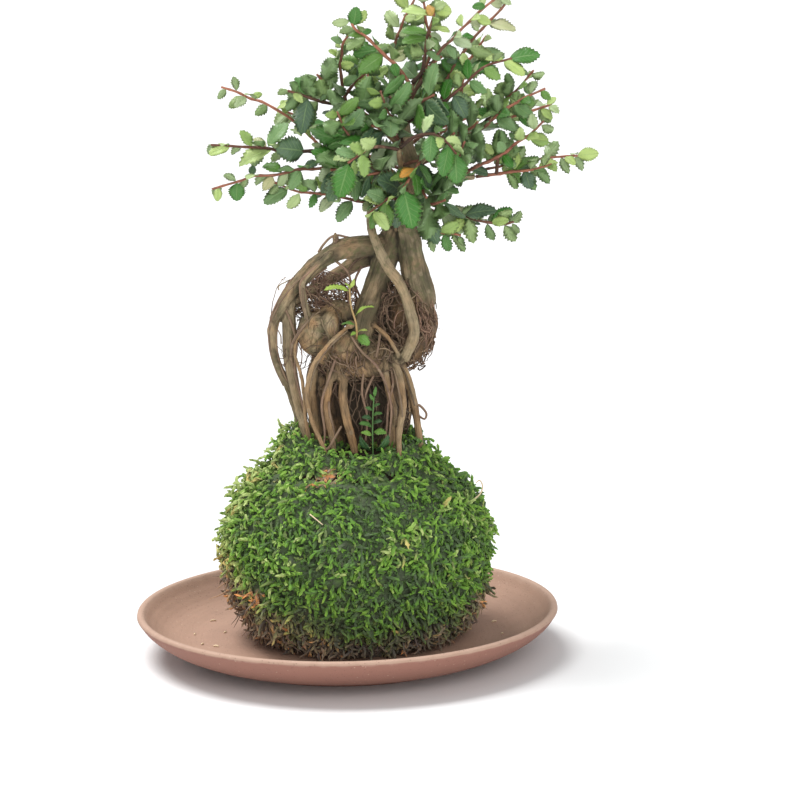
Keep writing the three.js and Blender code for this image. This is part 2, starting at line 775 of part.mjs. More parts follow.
const placedLeaves = {
  leftLong: [
    [-44, 217, -53, 215, -2, 40, 0.55], [-27, 216, -41, 210, -4, 60, 0.55],
    [-30, 217, -37, 218, 2, 55, 0.55], [-29, 217, -20, 227, 3, 55, 0.55],
    [-29, 217, -35, 221, 3, 60, 0.55], [-13, 216, -26, 217, -4, 10, 0.81],
    [-4, 214, -11, 218, -3, 45, 0.55],
  ],
  leftMiddle: [
    [-25, 231, -17, 234, -3, 55, 0.55], [-11, 220, -14, 223, -3, 45, 0.55],
    [-36, 236, -31, 238, 2, 25, 0.55], [-19, 227, -16, 230, 3, 40, 0.55],
  ],
  leftUp: [
    [-12, 236, -15, 222, -3, 30, 0.55], [-18, 239, -14, 235, -3, 35, 0.55],
    [-10, 237, -10, 241, 2, 10, 0.84], [-7, 236, -4, 238, -2, 40, 0.55],
  ],
  leftLow: [
    [-42, 204, -42, 196, -2, 10, 0.85], [-51, 203, -50, 196, -2, 10, 0.63],
    [-36, 206, -35, 210, 3, 10, 0.62], [-27, 206, -31, 200, -3, 10, 0.6],
    [-15, 207, -20, 200, -4, 10, 0.58], [-20, 207, -25, 201, 2, 20, 0.55],
    [-17, 207, -25, 208, -2, 60, 0.55], [-14, 207, -8, 211, 3, 40, 0.55],
    [-2, 210, -8, 203, -3, 10, 0.63],
  ],
  leftBottom: [
    [-21, 199, -31, 194, -4, 40, 0.55], [-24, 200, -32, 199, 4, 70, 0.55],
    [-6, 197, -10, 196, 3, 30, 0.55], [-14, 198, -11, 201, 4, 55, 0.55],
    [-2, 196, -8, 190, -3, 50, 0.55], [6, 194, -1, 186, -4, 40, 0.55],
  ],
  upLeft: [
    [8, 266, 9, 274, -2, 10, 0.71], [11, 264, 15, 264, 2, 10, 0.57],
    [13, 261, 5, 262, -3, 60, 0.55], [19, 253, 9, 247, -5, 10, 0.57],
    [16, 255, 7, 254, 4, 10, 0.54], [22, 249, 25, 245, -4, 10, 0.63],
    [22, 249, 30, 255, 3, 15, 0.55],
  ],
  upLeftRise: [
    [3, 259, -2, 261, -2, 25, 0.55], [6, 263, 3, 265, 2, 45, 0.55], [3, 253, -3, 256, -2, 40, 0.55],
    [2, 251, -3, 249, 3, 45, 0.55], [4, 257, 15, 257, -3, 55, 0.55], [2, 241, 9, 245, -3, 30, 0.55],
    [3, 238, -1, 240, 2, 30, 0.55],
  ],
  centreUp: [
    [38, 263, 27, 263, -3, 55, 0.55], [38, 260, 27, 259, -4, 45, 0.55],
    [40, 269, 27, 272, -3, 60, 0.55], [42, 269, 38, 274, -3, 10, 0.7],
    [42, 272, 48, 271, -2, 10, 0.83], [39, 265, 47, 263, -4, 65, 0.55],
    [38, 262, 44, 259, 3, 40, 0.55], [36, 255, 43, 251, -3, 50, 0.55],
  ],
  centreBack: [
    [38, 270, 33, 267, -3, 55, 0.55], [39, 256, 48, 250, 3, 50, 0.55],
  ],
  centreLeft: [
    [26, 262, 23, 260, 2, 25, 0.55], [25, 257, 31, 259, 3, 25, 0.55],
  ],
  rightUpFront: [
    [48, 260, 56, 257, -3, 25, 0.55], [46, 258, 49, 252, -4, 45, 0.55],
    [62, 273, 56, 273, -3, 20, 0.55], [64, 273, 69, 274, 3, 10, 0.64],
    [55, 267, 60, 265, 2, 30, 0.55],
  ],
  rightUpMiddle: [
    [64, 265, 75, 262, -3, 50, 0.55], [58, 260, 52, 260, -3, 45, 0.55],
    [54, 254, 53, 248, -3, 45, 0.55], [51, 251, 46, 250, -3, 10, 0.61],
  ],
  rightUpBack: [
    [55, 247, 68, 245, -4, 45, 0.55], [56, 249, 44, 246, -4, 35, 0.55],
  ],
  rightArc: [
    [68, 251, 77, 245, -4, 45, 0.55], [69, 251, 61, 252, 3, 55, 0.55],
    [70, 251, 84, 253, 2, 35, 0.55], [48, 238, 53, 228, -4, 10, 0.63],
    [44, 236, 41, 224, -6, 20, 0.55],
  ],
  rightOne: [
    [80, 244, 76, 246, 2, 30, 0.55], [78, 241, 81, 236, 2, 10, 0.59],
    [69, 235, 73, 238, 2, 10, 0.59], [66, 230, 63, 234, 3, 10, 0.76],
    [64, 228, 58, 230, -3, 10, 0.6],
  ],
  rightTwo: [
    [73, 232, 81, 227, -4, 15, 0.55], [77, 235, 82, 232, 2, 10, 0.54],
    [65, 228, 74, 222, -5, 25, 0.55],
  ],
  rightThree: [
    [88, 230, 92, 234, 2, 40, 0.55], [85, 229, 90, 225, -3, 30, 0.55],
    [87, 229, 82, 232, 3, 45, 0.55], [76, 226, 82, 222, -3, 40, 0.55],
  ],
  rightFour: [
    [79, 220, 87, 218, -3, 55, 0.55], [75, 217, 71, 221, 3, 45, 0.55],
    [62, 223, 66, 218, -4, 10, 0.78], [67, 214, 72, 207, -4, 20, 0.55],
  ],
  rightFive: [
    [78, 204, 80, 197, -3, 10, 0.81], [74, 204, 74, 213, 2, 45, 0.55],
    [76, 204, 82, 208, 3, 30, 0.55], [83, 205, 92, 208, 3, 55, 0.55],
    [81, 205, 87, 204, -3, 55, 0.55], [73, 204, 84, 210, -4, 65, 0.55],
    [63, 204, 55, 206, -4, 40, 0.55], [68, 209, 71, 214, -3, 10, 0.7],
  ],
  rightLow: [
    [53, 188, 66, 188, -4, 45, 0.55], [64, 186, 73, 188, 3, 10, 0.55],
    [64, 186, 71, 184, -3, 20, 0.55], [44, 189, 58, 182, 3, 70, 0.55],
  ],
  rightLowUnder: [
    [43, 187, 52, 178, -3, 35, 0.55], [55, 182, 60, 181, 2, 55, 0.55],
  ],
  rightLowSmall: [
    [34, 188, 41, 174, -4, 40, 0.55], [38, 183, 45, 176, 4, 55, 0.55],
  ],
  frontLeft: [
    [4, 211, 0, 198, -2, 10, 0.7], [17, 218, 0, 220, 4, 65, 0.55], [11, 216, 6, 206, 5, 25, 0.55],
  ],
  frontRight: [
    [48, 214, 48, 203, -2, 10, 0.76], [44, 218, 42, 206, -4, 10, 0.54],
    [38, 223, 37, 212, -5, 10, 0.61],
  ],
  frontLow: [
    [27, 200, 30, 184, -2, 10, 0.67], [30, 208, 23, 204, 3, 10, 0.66],
    [32, 208, 25, 205, -5, 40, 0.55], [33, 212, 37, 198, 4, 30, 0.55],
  ],
  frontDown: [
    [20, 194, 19, 183, -3, 20, 0.55], [15, 190, 20, 184, -5, 40, 0.55],
    [22, 195, 24, 183, 4, 50, 0.55],
  ],
  stemTop: [
    [16, 194, 10, 190, -3, 10, 0.72], [16, 199, 11, 203, -3, 10, 0.54],
  ],
  innerLeft: [
    [18, 216, 27, 214, -6, 10, 0.83],
  ],
  innerMiddle: [
    [25, 232, 22, 221, -5, 10, 0.83],
  ],
  rightFar: [
    [101, 209, 110, 210, -1, 10, 0.6],
  ],
};

// Half of a leaf's outline from stalk to tip, as shares of its length and its width. A notch between two
// teeth stands for the saw edge.
const halfLeaf = [
  [0.3, 0.5],
  [0.5, 0.43],
  [0.64, 0.47],
];
const halfSmallLeaf = [
  [0.34, 0.5],
  [0.66, 0.42],
];
const smallLeaf = 8; // a leaf shorter than this has no notch
const usualWidth = 0.55;
const arch = 0.3;

// The three directions of a leaf: along it, across it and out of its upper face.
function leafFrame({ points, faces }) {
  const along = new THREE.Vector3(...points).normalize();
  const up = new THREE.Vector3(...faces);
  up.addScaledVector(along, -up.dot(along)).normalize();
  return { along, up, across: new THREE.Vector3().crossVectors(up, along) };
}

// One blade: a thin plate, arched from stalk to tip.
function blade({ base, points, faces, size, wide }, margin = 0) {
  const { along, up, across } = leafFrame({ points, faces });
  const half = bladeThickness / 2 + margin;
  const spot = (u, v, side) =>
    new THREE.Vector3(...base)
      .addScaledVector(along, stalkStart + u * size)
      .addScaledVector(across, v)
      .addScaledVector(up, side * half + arch * u * (1 - u) * size);
  const outline = size < smallLeaf ? halfSmallLeaf : halfLeaf;
  const rim = [
    [-margin / size, 0],
    ...outline.map(([u, v]) => [u, -v * wide * size - margin]),
    [1 + (2 * margin) / size, 0],
    ...outline.map(([u, v]) => [u, v * wide * size + margin]).reverse(),
  ];
  const n = rim.length;
  const vertices = [...rim.map(([u, v]) => spot(u, v, 1)), ...rim.map(([u, v]) => spot(u, v, -1))];
  const triangles = [[0, 1, n - 1]];
  for (let i = 1; i < outline.length; i++) triangles.push([i, i + 1, n - i], [i + 1, n - i - 1, n - i]);
  triangles.push([outline.length, outline.length + 1, outline.length + 2]);
  for (const [a, b, c] of [...triangles]) triangles.push([a + n, c + n, b + n]);
  for (let i = 0; i < n; i++) {
    const j = (i + 1) % n;
    triangles.push([i, i + n, j + n], [i, j + n, j]);
  }
  return toSolid(closedGeometry(vertices, triangles));
}

const twigMarks = 60; // points along a twig where a placed leaf can start
const lastMark = 58; // the last of them, just short of the twig's end

// A placed leaf, with its base moved to the nearest point of its twigs.
function placedLeaf([x, z, tipX, tipZ, behind, tilt, wide], curves) {
  let base = null;
  let least = Infinity;
  for (const curve of curves) {
    for (let i = 0; i <= lastMark; i++) {
      const p = curve.getPoint(i / twigMarks);
      const away = Math.hypot(p.x - x, p.z - z);
      if (away < least) [base, least] = [p, away];
    }
  }
  const points = [tipX - base.x, behind, tipZ - base.z];
  const angle = THREE.MathUtils.degToRad(tilt);
  return {
    base: base.toArray(),
    points,
    faces: [0, -Math.cos(angle), Math.sin(angle)],
    size: Math.hypot(...points) - stalkStart,
    wide,
  };
}

// The points that stand for a leaf when leaves are kept apart.
function leafMarks(leaf) {
  const { along, across, up } = leafFrame(leaf);
  const midrib = [[0.3, 0], [0.6, 0], [0.8, 0], [1, 0]];
  const edges = [[0.3, 0.4], [0.3, -0.4], [0.64, 0.38], [0.64, -0.38]];
  return [...midrib, ...edges].map(([u, v]) =>
    new THREE.Vector3(...leaf.base)
      .addScaledVector(along, stalkStart + u * leaf.size)
      .addScaledVector(across, v * leaf.wide * leaf.size)
      .addScaledVector(up, arch * u * (1 - u) * leaf.size),
  );
}

function nearest(marks, taken) {
  let least = Infinity;
  for (const a of marks) for (const b of taken) least = Math.min(least, a.distanceTo(b));
  return least;
}

const crownCentre = new THREE.Vector3(28, 0, 215);
const leafGap = 3;
const leafTries = 12;

// The ruled leaves of one twig, in two rows that take turns. Each tries a few slightly different ways to lie
// until it clears the leaves that are there already, and otherwise keeps the clearest.
function ruledLeaves(curve, { leaves: count, size: usual, turn: usualTurn }, seed, taken) {
  const made = [];
  for (let i = 0; i < count; i++) {
    const t = 0.22 + (0.78 * (i + 0.5)) / count;
    const place = curve.getPoint(t);
    const along = curve.getTangent(t);
    const level = new THREE.Vector3(-along.y, along.x, 0).normalize();
    const lift = new THREE.Vector3().crossVectors(along, level);
    const side = i % 2 === 0 ? 1 : -1;
    const outward = place.clone().sub(crownCentre).normalize();
    outward.z += 0.6;
    let best = null;
    for (let k = 0; k < leafTries; k++) {
      const draw = (n) => chance(seed * 97 + i * 13 + k * 5 + n) - 0.5;
      const turn = THREE.MathUtils.degToRad(usualTurn + 70 * draw(0) + (k > 5 ? 60 : 0));
      const row = level.clone().multiplyScalar(Math.cos(turn)).addScaledVector(lift, Math.sin(turn));
      const points = along.clone().multiplyScalar(0.55 + 0.3 * draw(1));
      points.addScaledVector(row, side * 0.85);
      points.z -= 0.2;
      const faces = new THREE.Vector3().crossVectors(along, row);
      if (faces.dot(outward) < 0) faces.negate();
      faces.addScaledVector(row, 0.5 * draw(2)).addScaledVector(along, -0.2);
      const size = usual * (1.05 + 0.4 * draw(3)) * (1 - 0.3 * t * t);
      const leaf = {
        base: place.toArray(),
        points: points.toArray(),
        faces: faces.toArray(),
        size,
        wide: usualWidth,
      };
      const room = nearest(leafMarks(leaf), taken);
      if (!best || room > best.room) best = { leaf, room };
      if (room > leafGap) break;
    }
    made.push(best.leaf);
    taken.push(...leafMarks(best.leaf));
  }
  return made;
}

const twigTip = 0.8; // radius of a twig's end

function sprayParts({ radius, twigs }, leaves, margin) {
  const stems = twigs.map((points) => {
    const last = points.length - 1;
    const line = points.map((p, i) => [...p, THREE.MathUtils.lerp(radius + 0.2, twigTip, i / last)]);
    return stem(line, 3, margin);
  });
  return joined([...stems, ...leaves.map((leaf) => blade(leaf, margin))]);
}

// Small plants: a shoot from the bared roots with young toothed leaves, and a seedling that stands in the
// moss.

const smallPlants = {
  root_shoot: {
    finish: "youngLeaf",
    stem: [
      [6, -7, 136, 0.7],
      [6.3, -12, 138, 0.7],
      [6, -15.5, 144, 0.6],
      [4, -17, 152, 0.6],
      [3.6, -17, 160, 0.5],
    ],
    leaves: [
      { base: [3.8, -17, 158], points: [-1, -0.1, -0.05], faces: [0, -0.6, 0.8], size: 11 },
      { base: [3.7, -17, 158.6], points: [0.2, 0.1, 1], faces: [0.3, -1, 0], size: 4.5 },
      { base: [5.4, -16, 147], points: [1, -0.1, 0.5], faces: [0, -0.6, 0.8], size: 9 },
      { base: [6.1, -15.1, 143], points: [-1, -0.2, 0.05], faces: [0, -0.5, 0.9], size: 6.5 },
      { base: [6.3, -13.2, 139.6], points: [1, -0.5, 0.2], faces: [0, -0.5, 1], size: 6 },
      { base: [6.3, -12.4, 138.4], points: [0.8, -0.3, -0.7], faces: [0.2, -1, 0.3], size: 8 },
    ],
  },
  seedling: {
    finish: "leaf",
    stem: [
      [12, -18.5, 84.5, 0.6],
      [12, -19, 99, 0.6],
      [12.4, -19, 108, 0.6],
      [13, -19, 114, 0.5],
    ],
    leaves: [
      { base: [12, -19, 98], points: [-1, -0.3, 0.4], faces: [0, -0.7, 0.7], size: 6.5 },
      { base: [12, -19, 99.5], points: [0.9, -0.4, 0.1], faces: [0, -0.7, 0.7], size: 6 },
      { base: [12.1, -19, 103], points: [-0.9, -0.2, 0.5], faces: [0, -0.8, 0.6], size: 5.5 },
      { base: [12.2, -19, 105.5], points: [0.9, -0.3, 0.4], faces: [0, -0.7, 0.7], size: 5.5 },
      { base: [12.6, -19, 110], points: [0.8, -0.2, 0.6], faces: [0, -0.8, 0.6], size: 5 },
      { base: [12.8, -19, 112], points: [-0.5, -0.2, 0.9], faces: [0, -1, 0.2], size: 4.5 },
    ],
  },
};

function smallPlant({ stem: line, leaves }, margin = 0) {
  const blades = leaves.map((leaf) => blade({ ...leaf, wide: usualWidth }, margin));
  return joined([stem(line, 4, margin), ...blades]);
}

// The whole plant, as named meshes

const kokedama = new THREE.Group();

function addPiece(name, finish, geometry) {
  const material = new THREE.MeshStandardMaterial({ ...finishes[finish], metalness: 0 });
  const mesh = new THREE.Mesh(geometry, material);
  mesh.name = name;
  kokedama.add(mesh);
}

const woodRoom = wood(clearance);
const plants = Object.entries(smallPlants).map(([name, plant]) => ({
  name,
  finish: plant.finish,
  solid: smallPlant(plant),
  room: smallPlant(plant, clearance),
}));
const plantRoom = joined([woodRoom, ...plants.map((plant) => plant.room)]);

addPiece("saucer", "clay", saucerGeometry());
const moss = ballSolid(ballProfile, 38, true).subtract(soilBody(clearance)).subtract(neckOpening());
addPiece("moss_skin", "moss", toGeometry(largest(moss.subtract(plantRoom))));
addPiece("soil_heart", "soil", toGeometry(largest(soilBody(0).subtract(plantRoom))));
addPiece("trunk_and_roots", "bark", toGeometry(largest(wood(0))));
for (const { name, finish, solid } of plants) {
  addPiece(name, finish, toGeometry(largest(solid.subtract(woodRoom))));
}

// All placed leaves come first, so that the ruled ones give way to them.
const taken = [];
const placed = {};
for (const [name, spray] of Object.entries(sprays)) {
  const curves = spray.twigs.map(curveThrough);
  placed[name] = (placedLeaves[name] ?? []).map((row) => placedLeaf(row, curves));
  placed[name].forEach((leaf) => taken.push(...leafMarks(leaf)));
}
let filled = plantRoom;
Object.entries(sprays).forEach(([name, spray], index) => {
  const ruled = spray.twigs.flatMap((twig, k) => {
    const seed = index * 3 + k + 1;
    return ruledLeaves(curveThrough(twig), spray, seed, taken);
  });
  const leaves = [...placed[name], ...ruled];
  const solid = largest(sprayParts(spray, leaves, 0).subtract(filled));
  filled = filled.add(sprayParts(spray, leaves, clearance));
  const plain = name.replace(/[A-Z]/g, (c) => "_" + c.toLowerCase());
  addPiece("leafy_twig_" + plain, "leaf", toGeometry(solid.simplify(0.02)));
});

export default kokedama;
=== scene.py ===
# A kokedama: a small elm with bared roots that grows from a ball of soil wrapped in moss, on a clay saucer.
import math
import bpy
import numpy as np
from mathutils import Matrix


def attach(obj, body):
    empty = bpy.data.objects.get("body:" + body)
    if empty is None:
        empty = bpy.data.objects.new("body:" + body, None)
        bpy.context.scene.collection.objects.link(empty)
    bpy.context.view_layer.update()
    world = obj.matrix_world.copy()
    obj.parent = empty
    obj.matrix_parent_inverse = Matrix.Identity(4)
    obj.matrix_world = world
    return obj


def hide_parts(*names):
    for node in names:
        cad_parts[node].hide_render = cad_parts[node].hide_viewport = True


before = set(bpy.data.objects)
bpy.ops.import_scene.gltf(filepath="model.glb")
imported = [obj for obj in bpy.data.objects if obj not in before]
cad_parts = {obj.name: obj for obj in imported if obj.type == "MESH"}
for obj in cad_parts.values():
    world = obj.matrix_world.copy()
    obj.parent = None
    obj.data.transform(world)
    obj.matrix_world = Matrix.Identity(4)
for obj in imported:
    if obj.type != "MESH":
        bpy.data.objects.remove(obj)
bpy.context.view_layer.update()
print("frame loaded:", len(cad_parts), "nodes")

mm = 0.001  # every table below is in millimetres


# Small tools

def unit(vectors):
    return vectors / np.maximum(np.linalg.norm(vectors, axis=-1, keepdims=True), 1e-12)


def dot(a, b):
    return (a * b).sum(-1, keepdims=True)


# 0 below low, 1 above high, 3t^2 - 2t^3 between them.
def smoothstep(values, low, high):
    t = np.clip((values - low) / (high - low), 0, 1)
    return t * t * (3 - 2 * t)


# The same repeatable number from 0 to 1 that the solids' leaf rule draws: the fraction of a large sine.
def chance(n):
    s = np.sin(n * 12.9898 + 4.1414) * 43758.5453
    return s - np.floor(s)


# Smooth noise from -1 to 1: a hashed number at each corner of a cell, blended by 3t^2 - 2t^3 each way.
def noise(points, scale, seed=0):
    cells = np.asarray(points, float) / scale + seed * 17.31
    low = np.floor(cells)
    t = cells - low
    t = t * t * (3 - 2 * t)
    total = 0
    for corner in np.ndindex(2, 2, 2):
        hashed = np.sin((low + corner) @ np.array([127.1, 311.7, 74.7])) * 43758.5453
        total = total + (hashed - np.floor(hashed)) * np.where(corner, t, 1 - t).prod(-1)
    return 2 * total - 1


# Catmull-Rom curve through the points, at shares t of the way. Each piece is a cubic whose end slopes are
# half the step from the point before to the point after.
def curvePlace(points, t):
    points = np.asarray(points, float)
    padded = np.vstack([2 * points[:1] - points[1:2], points, 2 * points[-1:] - points[-2:-1]])
    span = np.clip(np.asarray(t, float), 0, 1) * (len(points) - 1)
    k = np.minimum(np.floor(span).astype(int), len(points) - 2)
    w = (span - k)[..., None]
    before, start, end, after = (padded[k + i] for i in range(4))
    leave, arrive = 0.5 * (end - before), 0.5 * (after - start)
    return (start + leave * w + (-3 * start + 3 * end - 2 * leave - arrive) * w**2
            + (2 * start - 2 * end + leave + arrive) * w**3)


def curveDirection(points, t):
    t = np.asarray(t, float)
    return unit(curvePlace(points, t + 1e-4) - curvePlace(points, t - 1e-4))


def lineLength(line):
    return np.linalg.norm(np.diff(np.asarray(line, float)[:, :3], axis=0), axis=1).sum()


# The radius at shares t of a line of points [x, y, z, radius].
def radiusAt(line, t):
    return np.interp(t * (len(line) - 1), np.arange(len(line)), line[:, 3])


def randomWays(random, count):
    return unit(random.normal(size=(count, 3)))


# A shape holds points in millimetres, quads, tris and one array for each attribute. This leaves the
# attributes out.
def bareShape(shape):
    return {key: shape[key] for key in ("points", "quads", "tris")}


# Gives a shape of count equal tubes one value for each tube, repeated over its points.
def withMarks(shape, count, **marks):
    corners = len(shape["points"]) // count
    return dict(shape, **{key: np.repeat(values, corners) for key, values in marks.items()})


# Joins shapes into one: each shape's faces count on from the points before it.
def joinShapes(shapes):
    starts = np.cumsum([0] + [len(shape["points"]) for shape in shapes[:-1]])
    joined = {"points": np.concatenate([shape["points"] for shape in shapes])}
    for kind, corners in (("quads", 4), ("tris", 3)):
        joined[kind] = np.concatenate([shape.get(kind, np.zeros((0, corners), int)) + start
                                       for shape, start in zip(shapes, starts)])
    for key in set(shapes[0]) - {"points", "quads", "tris"}:
        joined[key] = np.concatenate([shape[key] for shape in shapes])
    return joined


def addObject(name, data):
    made = bpy.data.objects.new(name, data)
    bpy.context.scene.collection.objects.link(made)
    return made


def meshFrom(name, shape):
    mesh = bpy.data.meshes.new(name)
    faces = [face for kind in ("quads", "tris") if kind in shape for face in shape[kind].tolist()]
    mesh.from_pydata((shape["points"] * mm).tolist(), [], faces)
    return mesh


def loopCorners(mesh):
    corners = np.empty(len(mesh.loops), np.int32)
    mesh.loops.foreach_get("vertex_index", corners)
    return corners


def vertexVectors(mesh, name):
    flat = np.empty(len(mesh.vertices) * 3, np.float32)
    mesh.vertices.foreach_get(name, flat)
    return flat.reshape(-1, 3).astype(float)


# Makes a piece from a shape. Its two-column array named map becomes a UV map, and a shape marked flat isn't
# shaded smooth.
def makePiece(name, shape, material, slot, *nodes):
    mesh = meshFrom(name, shape)
    for key in sorted(set(shape) - {"points", "quads", "tris", "flat"}):
        values = np.asarray(shape[key], np.float32)
        if key == "map":
            mesh.uv_layers.new(name="map").data.foreach_set("uv", values[loopCorners(mesh)].ravel())
        else:
            kind, field = ("FLOAT_VECTOR", "vector") if values.ndim == 2 else ("FLOAT", "value")
            mesh.attributes.new(key, kind, "POINT").data.foreach_set(field, values.ravel())
    if "flat" not in shape:
        mesh.shade_smooth()
    mesh.materials.append(material)
    piece = addObject(name, mesh)
    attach(piece, "root")
    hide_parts(*nodes)
    return piece


# Faces of a tube of rings: quads round it and a fan at each end, to the two points that follow the last ring.
def ringFaces(rings, sides):
    i, j = np.meshgrid(np.arange(rings - 1), np.arange(sides), indexing="ij")
    near, far = i * sides + j, i * sides + (j + 1) % sides
    quads = np.stack([near, far, far + sides, near + sides], axis=-1).reshape(-1, 4)
    j = np.arange(sides)
    after, top, total = (j + 1) % sides, (rings - 1) * sides, rings * sides
    tris = np.concatenate([np.stack([np.full(sides, total), after, j], axis=1),
                           np.stack([np.full(sides, total + 1), top + j, top + after], axis=1)])
    return quads, tris


# Tubes round n paths of m points. Ring point = path + radius (cos a across + sin a third), a once round,
# with the two directions carried along the path without twist. flute deepens the radius by a share that
# changes with a. Each end closes in one point, half a radius further on. grain is the tube laid straight,
# which bark patterns follow: its two cross directions and the length so far.
def sweep(paths, radii, sides, flute=0.0, seed=0):
    count, rings = paths.shape[:2]
    along = unit(np.gradient(paths, axis=1))
    turn = np.cross(np.array([0.3, 1, 0.2]), along[:, 0])
    across = np.empty_like(paths)
    for ring in range(rings):
        turn = unit(turn - along[:, ring] * dot(turn, along[:, ring]))
        across[:, ring] = turn
    third = np.cross(along, across)
    steps = np.linalg.norm(np.diff(paths, axis=1), axis=-1)
    length = np.concatenate([np.zeros((count, 1)), np.cumsum(steps, axis=1)], axis=1)[..., None]
    angle = np.arange(sides) * 2 * np.pi / sides
    phase = chance(np.arange(count) + seed)[:, None, None] * 6.28
    waves = (0.5 * np.sin(2 * angle + phase + 0.11 * length)
             + 0.3 * np.sin(3 * angle - 2 * phase - 0.17 * length)
             + 0.25 * np.sin(5 * angle + 3 * phase + 0.07 * length))
    size = radii[..., None] * (1 + flute * waves)
    ringPoints = (paths[:, :, None] + (size * np.cos(angle))[..., None] * across[:, :, None]
                  + (size * np.sin(angle))[..., None] * third[:, :, None])
    first = paths[:, :1] - along[:, :1] * 0.5 * radii[:, :1, None]
    last = paths[:, -1:] + along[:, -1:] * 0.5 * radii[:, -1:, None]
    points = np.concatenate([ringPoints.reshape(count, -1, 3), first, last], axis=1)
    straight = [size * np.cos(angle), size * np.sin(angle), np.broadcast_to(length, size.shape)]
    ends = np.zeros((count, 2, 3))
    ends[:, 1, 2] = length[:, -1, 0]
    grain = np.concatenate([np.stack(straight, axis=-1).reshape(count, -1, 3), ends], axis=1)
    grain += chance(np.arange(count) * 7 + seed + 3)[:, None, None] * 400  # no two tubes share a pattern
    quads, tris = ringFaces(rings, sides)
    shift = (np.arange(count) * (rings * sides + 2))[:, None, None]
    return {"points": points.reshape(-1, 3), "grain": grain.reshape(-1, 3),
            "quads": (quads + shift).reshape(-1, 4), "tris": (tris + shift).reshape(-1, 3)}


# One tube along a line of points [x, y, z, radius] or, with a radius given for each end, [x, y, z].
def tube(line, sides, step, flute=0.0, seed=0, ends=None):
    line = np.array(line, float)
    t = np.linspace(0, 1, max(5, int(lineLength(line) / step)) + 1)
    if ends is None:
        radius = radiusAt(line, t)
    else:
        radius = ends[0] + (ends[1] - ends[0]) * t
    return sweep(curvePlace(line[:, :3], t)[None], radius[None], sides, flute, seed)


# Materials

def put(tree, kind, inputs=None, **settings):
    made = tree.nodes.new(kind)
    for key, value in settings.items():
        setattr(made, key, value)
    for key, value in (inputs or {}).items():
        if isinstance(value, bpy.types.NodeSocket):
            tree.links.new(value, made.inputs[key])
        else:
            made.inputs[key].default_value = value
    return made


def calc(tree, operation, a, b=0.5, clamp=False):
    return put(tree, "ShaderNodeMath", {0: a, 1: b}, operation=operation, use_clamp=clamp).outputs[0]


def times(tree, a, b):
    return calc(tree, "MULTIPLY", a, b)


# A colour given as it looks on a screen, 0 to 255, as the linear values that a shader takes.
def paint(colour):
    s = np.array(colour) / 255
    linear = np.where(s < 0.04045, s / 12.92, ((s + 0.055) / 1.055) ** 2.4)
    return (*linear.tolist(), 1.0)


# From a to b by share. Each is a socket or a colour from 0 to 255.
def blend(tree, share, a, b, way="MIX"):
    a, b = (paint(end) if isinstance(end, tuple) else end for end in (a, b))
    return put(tree, "ShaderNodeMix", {0: share, 6: a, 7: b}, data_type="RGBA", blend_type=way).outputs[2]


def spread(tree, value, low, high, toLow=0.0, toHigh=1.0):
    return put(tree, "ShaderNodeMapRange", {0: value, 1: low, 2: high, 3: toLow, 4: toHigh}).outputs[0]


def ramp(tree, value, stops):
    made = put(tree, "ShaderNodeValToRGB", {0: value})
    elements = made.color_ramp.elements
    while len(elements) < len(stops):
        elements.new(0.5)
    for element, (place, colour) in zip(elements, stops):
        element.position, element.color = place, paint(colour)
    return made.outputs[0]


def attribute(tree, name, output="Fac"):
    return put(tree, "ShaderNodeAttribute", attribute_name=name).outputs[output]


def newGroup(name, inputs, outputs):
    tree = bpy.data.node_groups.new(name, "ShaderNodeTree")
    for socket, (kind, value) in inputs.items():
        made = tree.interface.new_socket(socket, in_out="INPUT", socket_type="NodeSocket" + kind)
        if value is not None:
            made.default_value = value
    for socket in outputs:
        tree.interface.new_socket(socket, in_out="OUTPUT", socket_type="NodeSocketFloat")
    return tree, tree.nodes.new("NodeGroupInput").outputs, tree.nodes.new("NodeGroupOutput").inputs


def useGroup(tree, group, inputs):
    return put(tree, "ShaderNodeGroup", inputs, node_tree=group).outputs


# Mottle: two sizes of cloudy patches, from 0 to 1, sharpened by Contrast.
def mottleGroup():
    tree, given, out = newGroup("mottle", {"Vector": ("Vector", None), "Scale": ("Float", 50.0),
                                           "Contrast": ("Float", 2.0)}, ["Mask", "Fine"])
    big = put(tree, "ShaderNodeTexNoise", {"Vector": given["Vector"], "Scale": given["Scale"], "Detail": 4.0})
    fineScale = times(tree, given["Scale"], 6.0)
    fine = put(tree, "ShaderNodeTexNoise", {"Vector": given["Vector"], "Scale": fineScale, "Detail": 3.0})
    for name, source in (("Mask", big), ("Fine", fine)):
        off = calc(tree, "SUBTRACT", source.outputs["Fac"], 0.5)
        steep = times(tree, off, given["Contrast"])
        tree.links.new(calc(tree, "ADD", steep, 0.5, clamp=True), out[name])
    return tree


# Streaks: fibres along z of the vector, long and narrow, from 0 to 1.
def streakGroup():
    tree, given, out = newGroup("streaks", {"Vector": ("Vector", None), "Across": ("Float", 1.0),
                                            "Along": ("Float", 0.1)}, ["Coarse", "Fibre"])
    size = put(tree, "ShaderNodeCombineXYZ", {0: given["Across"], 1: given["Across"], 2: given["Along"]})
    for name, thickness in (("Coarse", 0.45), ("Fibre", 1.6)):
        ends = {0: given["Vector"], 1: size.outputs[0]}
        scaled = put(tree, "ShaderNodeVectorMath", ends, operation="MULTIPLY").outputs[0]
        lines = put(tree, "ShaderNodeTexNoise",
                    {"Vector": scaled, "Scale": thickness, "Detail": 3.0, "Distortion": 0.4})
        tree.links.new(spread(tree, lines.outputs["Fac"], 0.3, 0.7), out[name])
    return tree


